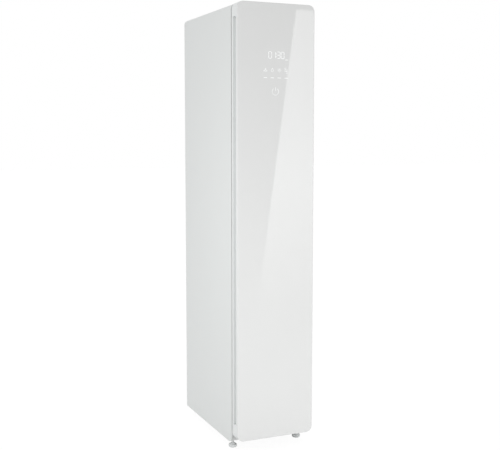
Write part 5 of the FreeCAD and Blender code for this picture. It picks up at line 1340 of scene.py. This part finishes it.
def band(low, high, corner, foot, tall, proud):
    """A band round an upright box, from a height upwards."""
    return lofted([[Vector((spot.x, spot.z, spot.y)) for spot in
                    rounded_ring((low.x, low.y), (high.x, high.y), corner,
                                 foot + rise * tall, -swell * proud, 4)]
                   for rise, swell in BAND], loop=True)


def wall_ribs(slot, low, high, foot, head, pitch, margin, walls):
    """Upright ribs between two heights on a box's walls, each given by its outward axis."""
    centre = (low + high) / 2
    made = []
    for out in walls:
        along = Z.cross(out)
        reach = abs(along.dot(high - low)) / 2 - margin
        count = int(2 * reach / pitch) + 1
        start = centre + out * abs(out.dot(high - low)) / 2 - along * (count - 1) * pitch / 2
        start.z = foot
        rib = ridge(start, start + Z * (head - foot), along, out, BOX_RIB_HALF, BOX_RIB_PROUD)
        made.append(in_row(slot, rib, count, *(along * pitch)))
    return joined(*made)

# %% [markdown]
# A vacuum-formed panel gets a raised bead along its border, which stiffens it and hides
# that it is thin. The door's raised panel has one, and so has the panel that closes the
# cabinet under the chamber. The bead is a closed skin over rounded rectangles. The tanks
# have a rim and three level lines on the front.

# %% Border beads and tank rims
def border(low, high, corner, y, margin, half, proud):
    """A half-oval bead round a rectangle square to Y; proud is how far towards +Y."""
    return lofted([rounded_ring(low, high, corner, y + proud * math.sin(turn),
                                margin + half * math.cos(turn)) for turn in HALF_TURN], loop=True)


PLUG_HALF, PLUG_FOOT, PLUG_HEAD = 0.140, 0.445, 1.690      # the door's raised panel
show("door_panel_bead", border(
    (-PLUG_HALF, PLUG_FOOT), (PLUG_HALF, PLUG_HEAD), corner=30 * MM,
    y=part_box("door_inner_panel")[1].y, margin=24 * MM, half=4 * MM, proud=1.5 * MM),
    "door_inner_panel")
bay_low, bay_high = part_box("tank_bay")
show("tank_bay_bead", border(
    (bay_low.x, bay_low.z), (bay_high.x, bay_high.z), corner=34 * MM,
    y=bay_low.y, margin=26 * MM, half=5 * MM, proud=-1.5 * MM), "tank_bay")

LEVEL_LINES, LINE_HALF, LINE_GAP = 3, 16 * MM, 60 * MM
RIM_FOOT, RIM_HEAD = 3 * MM, 10 * MM           # above the tank's foot, below its top
for name in ("supply_tank", "drain_tank"):
    low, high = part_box(name)
    x, level = middle(name).x, low.z + LINE_GAP
    line = ridge((x - LINE_HALF, low.y, level), (x + LINE_HALF, low.y, level), Z, -Y,
                 half=1.0 * MM, proud=0.6 * MM)
    lines = in_row("tank_plastic", line, LEVEL_LINES, 0, 0, LINE_GAP)
    rims = [band(low, high, corner=1 * MM, foot=foot, tall=4 * MM, proud=0.7 * MM)
            for foot in (low.z + RIM_FOOT, high.z - RIM_HEAD)]
    show(name + "_rims", joined(lines, *rims), name)

# %% [markdown]
# ## The machine room
#
# A heat exchanger is a stack of very thin aluminium fins on a copper tube that runs to
# and fro through them. The fins are a row. The tube is one path of straight passes and
# half-round bends, swept.

# %% Heat exchangers
FIN_THICK, FIN_COUNT = 0.5 * MM, 46
END_PLATE = 1 * MM            # half the thickness of the plates at the ends
COIL_STUB = 18.5 * MM         # the pipe stub makes the node's box this much longer
BEND_ROOM = 6 * MM            # the fins stop this far inside the block for the bends
TUBE_RADIUS, STUB_OUTER, PASSES = 3.5 * MM, 7 * MM, 8
BEND_OUT = 0.8                # the bends stand out by this share of a true half circle
BEND_TURNS = spread(-math.pi / 2, math.pi / 2, 10)[1:-1]


def fin_block(low, high, x_low, x_high):
    """A plate as deep and as tall as the node's box."""
    return block((x_low, low.y, low.z), (x_high, high.y, high.z))


for name, stub_level in (("evaporator", 0.340), ("condenser", 0.290)):
    low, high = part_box(name)
    left, right = low.x + BEND_ROOM, high.x - COIL_STUB - BEND_ROOM
    fins = in_row("coil_aluminium", fin_block(low, high, left, left + FIN_THICK), FIN_COUNT,
                  (right - left - FIN_THICK) / (FIN_COUNT - 1), 0, 0)
    plates = [fin_block(low, high, x - END_PLATE, x + END_PLATE) for x in (left, right)]
    show(name + "_fins", joined(fins, *plates), name, name)
    half_pitch = (high.z - low.z) / PASSES / 2
    depth = (low.y + high.y) / 2
    path = []
    for number in range(PASSES):
        level = low.z + half_pitch * (2 * number + 1)
        out, ends = (-1, (right, left)) if number % 2 else (1, (left, right))
        path += [Vector((x, depth, level)) for x in ends]
        if number < PASSES - 1:
            path += [Vector((ends[1] + out * math.cos(turn) * half_pitch * BEND_OUT, depth,
                             level + half_pitch + math.sin(turn) * half_pitch))
                     for turn in BEND_TURNS]
    tube = swept("pipe_copper", path, TUBE_RADIUS, 12)
    stub = swept("pipe_copper", [Vector((x, depth, stub_level)) for x in
                                 (right - BEND_ROOM, high.x)], STUB_OUTER, 24)
    show(name + "_tube", joined(tube, stub), name, slot="pipe_copper")

# %% [markdown]
# The blower's wheel has many short forward-curved blades between a base plate and a
# ring: one blade, set round in a ring. Its base and the ring are turned.

# %% Blower wheel
WHEEL_RADIUS, BLADE_DEEP, BLADE_THICK, BLADES = 50 * MM, 12 * MM, 1.5 * MM, 24
BLADE_BOW, BLADE_STEPS = 3.5 * MM, 6
BLADE_SHIFT = 2.5 * MM
BLADE_SUNK = 1 * MM           # into the base plate, and short of the wheel's outside
PLATE_THICK = 3 * MM
BASE_SECTION = ((3.05, 0), (49, 0), (50, 1), (50, 2.5), (49, 3), (13, 3), (11, 5), (9, 19),
                (8, 20), (3.05, 20))
RIM_SECTION = ((37, -3), (50, -3), (50, -1), (49, 0), (38, 0), (37, -1))     # from the top

wheel_low, wheel_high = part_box("fan_impeller")
wheel = middle("fan_impeller")


def blade_outline(height):
    """A bowed strip seen from above: out along one side and back along the other."""
    outline = []
    for side, steps in ((-1, range(BLADE_STEPS + 1)), (1, range(BLADE_STEPS, -1, -1))):
        for step in steps:
            share = step / BLADE_STEPS
            reach = WHEEL_RADIUS - BLADE_SUNK - BLADE_DEEP * (1 - share)
            bow = BLADE_BOW * math.sin(math.pi * share) - BLADE_SHIFT * share
            outline.append(Vector((wheel.x + reach, wheel.y + bow + side * BLADE_THICK / 2, height)))
    return outline


blade = lofted([blade_outline(top - BLADE_SUNK) for top in
                (wheel_low.z + PLATE_THICK, wheel_high.z)])
base, rim = [turned(in_mm(section, foot), wheel, loop=True) for section, foot in
             ((BASE_SECTION, wheel_low.z), (RIM_SECTION, wheel_high.z))]
show("blower_wheel", joined(base, in_ring("grey_plastic", blade, BLADES, wheel), rim),
     "fan_impeller", "fan_impeller")

# %% [markdown]
# The compressor is two deep-drawn cups welded together round the waist, so its shell
# has domed ends and a bead where they meet. It stands on three rubber mounts that are
# squeezed a little by its weight.

# %% Compressor and its mounts
SHELL_RADIUS, SHELL_TALL, STUB_APART = 48 * MM, 162 * MM, 20 * MM
SHELL_SECTION = ((0, 0), (36, 0), (43, 3), (46.4, 9), (47.2, 16), (47.2, 92), (48, 93),
                 (48, 96), (47.2, 97), (47.2, 138), (45.5, 147), (41, 154), (33, 159),
                 (20, 161.4), (0, 162))
STUB_SECTION = ((0, -4), (9.5, -4), (8.6, -1.5), (7, 0.5), (7, 8), (5.6, 8), (5.6, 7), (0, 7))
MOUNT_SECTION = ((0, 0), (0.82, 0), (0.92, 0.08), (1.0, 0.3), (0.97, 0.42), (0.86, 0.5),
                 (0.97, 0.58), (1.0, 0.7), (0.92, 0.92), (0.82, 1.0), (0, 1.0))

shell_low, shell_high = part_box("compressor")
shell_x, shell_y = shell_low.x + SHELL_RADIUS, (shell_low.y + shell_high.y) / 2
shell = turned(in_mm(SHELL_SECTION, shell_low.z), (shell_x, shell_y), steps=72)
stubs = [turned(in_mm(STUB_SECTION, shell_low.z + SHELL_TALL), (x, shell_y), steps=28)
         for x in (shell_x, shell_x + STUB_APART)]
show("compressor_shell", joined(shell, *stubs), "compressor", "compressor")

mounts = [filling(low, high, MOUNT_SECTION, 32) for low, high in loose_parts("compressor_mounts")]
show("compressor_mount_rubbers", joined(*mounts), "compressor_mounts", "compressor_mounts")

# %% [markdown]
# The air duct's two halves clip together half way up, so it has a band there, and ribs
# above and below it. Here and on the next boxes, ribs stay clear of the pipes that leave
# the walls.

# %% Duct
DUCT_SEAM, DUCT_RIBS = 0.3115, ((0.222, 0.276), (0.354, 0.416))
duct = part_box("duct_housing")
ribs = [wall_ribs("grey_plastic", *duct, foot, head, pitch=24 * MM, margin=14 * MM,
                  walls=(X, -X, Y)) for foot, head in DUCT_RIBS]
show("duct_seam", joined(band(*duct, corner=1 * MM, foot=DUCT_SEAM, tall=5 * MM, proud=2 * MM),
                         *ribs), "duct_housing")

# %% [markdown]
# The steam generator is a cast block under a screwed lid, with a round thermostat on it.
# The screws are the same as the case's, and a function puts one into each corner of a
# lid.

# %% Steam generator
def lid_screws(low, high, inset, seed):
    """Four screws in the corners of a box's lid."""
    places = [(x, y, high.z) for x in (low.x + inset, high.x - inset)
              for y in (low.y + inset, high.y - inset)]
    return screws_at(places, [Z] * len(places), seed)


LID_TALL, LID_SEAM, LID_INSET = 12 * MM, 4 * MM, 13 * MM
THERMOSTAT = ((0, 0), (11, 0), (11, 1), (9, 1), (9, 8), (8, 9), (0, 9))
THERMOSTAT_IN = 30 * MM       # from the boiler's rear wall
boiler_low, boiler_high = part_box("steam_generator")
lid_foot = boiler_high.z - LID_TALL - LID_SEAM
show("boiler_castings", joined(
    band(boiler_low, boiler_high, corner=10 * MM, foot=lid_foot, tall=LID_SEAM, proud=2.4 * MM),
    wall_ribs("motor_metal", boiler_low, boiler_high, boiler_low.z + 8 * MM, lid_foot - 3 * MM,
              pitch=15 * MM, margin=13 * MM, walls=(X, Y, -Y))), "steam_generator")
thermostat = turned(in_mm(THERMOSTAT, boiler_high.z),
                    (middle("steam_generator").x, boiler_high.y - THERMOSTAT_IN), steps=32)
show("boiler_fittings", joined(lid_screws(boiler_low, boiler_high, LID_INSET, 11), thermostat),
     "steam_generator", slot="hinge_steel")

# %% [markdown]
# The pump's lower half is a moulded box with a band and wall ribs. Its round head has
# ribs too, set in a ring.

# %% Water pump
PUMP_SHOULDER, PUMP_HEAD, PUMP_RIBS = 58 * MM, 22 * MM, 14
pump_low, pump_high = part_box("water_pump")
pump_middle = middle("water_pump")
shoulder = pump_low.z + PUMP_SHOULDER
head_rib = ridge(*[(pump_middle.x + PUMP_HEAD, pump_middle.y, level)
                   for level in (shoulder + 2 * MM, pump_high.z - 3 * MM)], Y, X,
                 half=1.4 * MM, proud=1.2 * MM)
show("pump_ribs", joined(
    band(pump_low, pump_high, corner=1.5 * MM, foot=shoulder - 6 * MM, tall=4 * MM,
         proud=1.6 * MM),
    wall_ribs("pump_plastic", pump_low, pump_high, pump_low.z + 4 * MM, shoulder - 8 * MM,
              pitch=9 * MM, margin=6 * MM, walls=(Y, -X)),
    in_ring("pump_plastic", head_rib, PUMP_RIBS, pump_middle)), "water_pump")

# %% [markdown]
# The control box has a lid with a row of raised vents and a screw in each corner.

# %% Control box
CONTROL_INSET = 8 * MM
VENTS, VENT_INSET, VENT_FIRST, VENT_PITCH = 12, 18 * MM, 20 * MM, 7 * MM
control_low, control_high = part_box("control_box")
vent = ridge(*[(x, control_low.y + VENT_FIRST, control_high.z) for x in
               (control_low.x + VENT_INSET, control_high.x - VENT_INSET)], Y, Z,
             half=1.5 * MM, proud=1.2 * MM)
show("control_box_lid", joined(
    band(control_low, control_high, corner=1 * MM, foot=control_high.z - 12 * MM, tall=9 * MM,
         proud=1.2 * MM),
    wall_ribs("motor_metal", control_low, control_high, control_low.z + 6 * MM,
              control_high.z - 16 * MM, pitch=10 * MM, margin=10 * MM, walls=(X, -X, Y, -Y)),
    in_row("motor_metal", vent, VENTS, 0, VENT_PITCH, 0)), "control_box")
show("control_box_screws", lid_screws(control_low, control_high, CONTROL_INSET, 5),
     "control_box", slot="hinge_steel")

# %% [markdown]
# The base pan is folded from the same zinc-coated sheet as the back, but its front wall
# can be seen under the door, so it is painted to go with the case. Beads pressed into
# its floor stiffen it.

# %% Base pan
PAN_BEADS, PAN_STEP, PAN_FIRST = 3, 90 * MM, 60 * MM
PAN_LEFT, PAN_RIGHT = -130 * MM, 50 * MM

pan_bead = ridge((PAN_LEFT, PAN_FIRST, pump_low.z), (PAN_RIGHT, PAN_FIRST, pump_low.z), Y, Z,
                 half=8 * MM, proud=1.6 * MM)
pan_beads = in_row("galvanised_steel", pan_bead, PAN_BEADS, 0, PAN_STEP, 0)
for piece in (show("base_pan_beads", pan_beads, "base_pan"), softened("base_pan", 0.3 * MM)):
    piece.data.materials[0] = finishes["pan_paint"]

# %% [markdown]
# Both motors are turned cans with cooling ribs round them, a boss and a shaft. The can's
# sizes come from the node's box and from the part's own drawing.

# %% Motors
CAN_RIBS, CAN_RIB_HALF, CAN_RIB_PROUD = 26, 1.6 * MM, 0.9 * MM


def motor_shape(name, can_tall, boss_radius, boss_top, shaft_radius):
    """A ribbed can with a boss and a shaft; heights are above the node's foot."""
    low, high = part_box(name)
    centre = middle(name)
    radius = (high.x - low.x) / 2
    core, top = radius - CAN_RIB_PROUD, low.z + can_tall
    can = turned([(0, low.z), (core - 4 * MM, low.z), (core - 1 * MM, low.z + 1.2 * MM),
                  (core, low.z + 4 * MM), (core, top - 1.5 * MM), (core - 1.5 * MM, top),
                  (boss_radius + 3 * MM, top), (boss_radius, top + 0.1 * MM),
                  (boss_radius, low.z + boss_top), (shaft_radius, low.z + boss_top),
                  (shaft_radius, high.z - 0.4 * MM), (shaft_radius - 0.4 * MM, high.z),
                  (0, high.z)], centre)
    rib = ridge((centre.x + core, centre.y, low.z + 7 * MM), (centre.x + core, centre.y, top - 5 * MM),
                Y, X, CAN_RIB_HALF, CAN_RIB_PROUD)
    return joined(can, in_ring(slot_of[name], rib, CAN_RIBS, centre))


show("blower_motor", motor_shape("fan_motor", 50 * MM, 6 * MM, 50.2 * MM, 3 * MM),
     "fan_motor", "fan_motor")
show("drive_motor", motor_shape("shaker_motor", 36 * MM, 8 * MM, 39.4 * MM, 4 * MM),
     "shaker_motor", "shaker_motor")

# %% [markdown]
# ## What is left
#
# The other pieces have the right shape already: folded sheet, moulded boxes, brackets
# and tubes. Each gets a copy with eased edges, rounder for moulded plastic than for
# sheet steel.

# %% Eased copies of the remaining nodes
EASED = {"painted_case": 0.5, "galvanised_steel": 0.3, "hinge_steel": 0.4, "chamber_lining": 1.2,
         "grey_plastic": 0.8, "tank_plastic": 0.9, "motor_metal": 1.2, "insulating_foam": 1.0,
         "foot_plastic": 0.6, "pump_plastic": 1.5}
EASED_OTHERWISE = 0.25

stood_for = {name for piece in bpy.context.scene.objects for name in piece.get("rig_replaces", [])}
for name in nodes:
    if name not in stood_for:
        softened(name, EASED.get(slot_of[name], EASED_OTHERWISE) * MM)
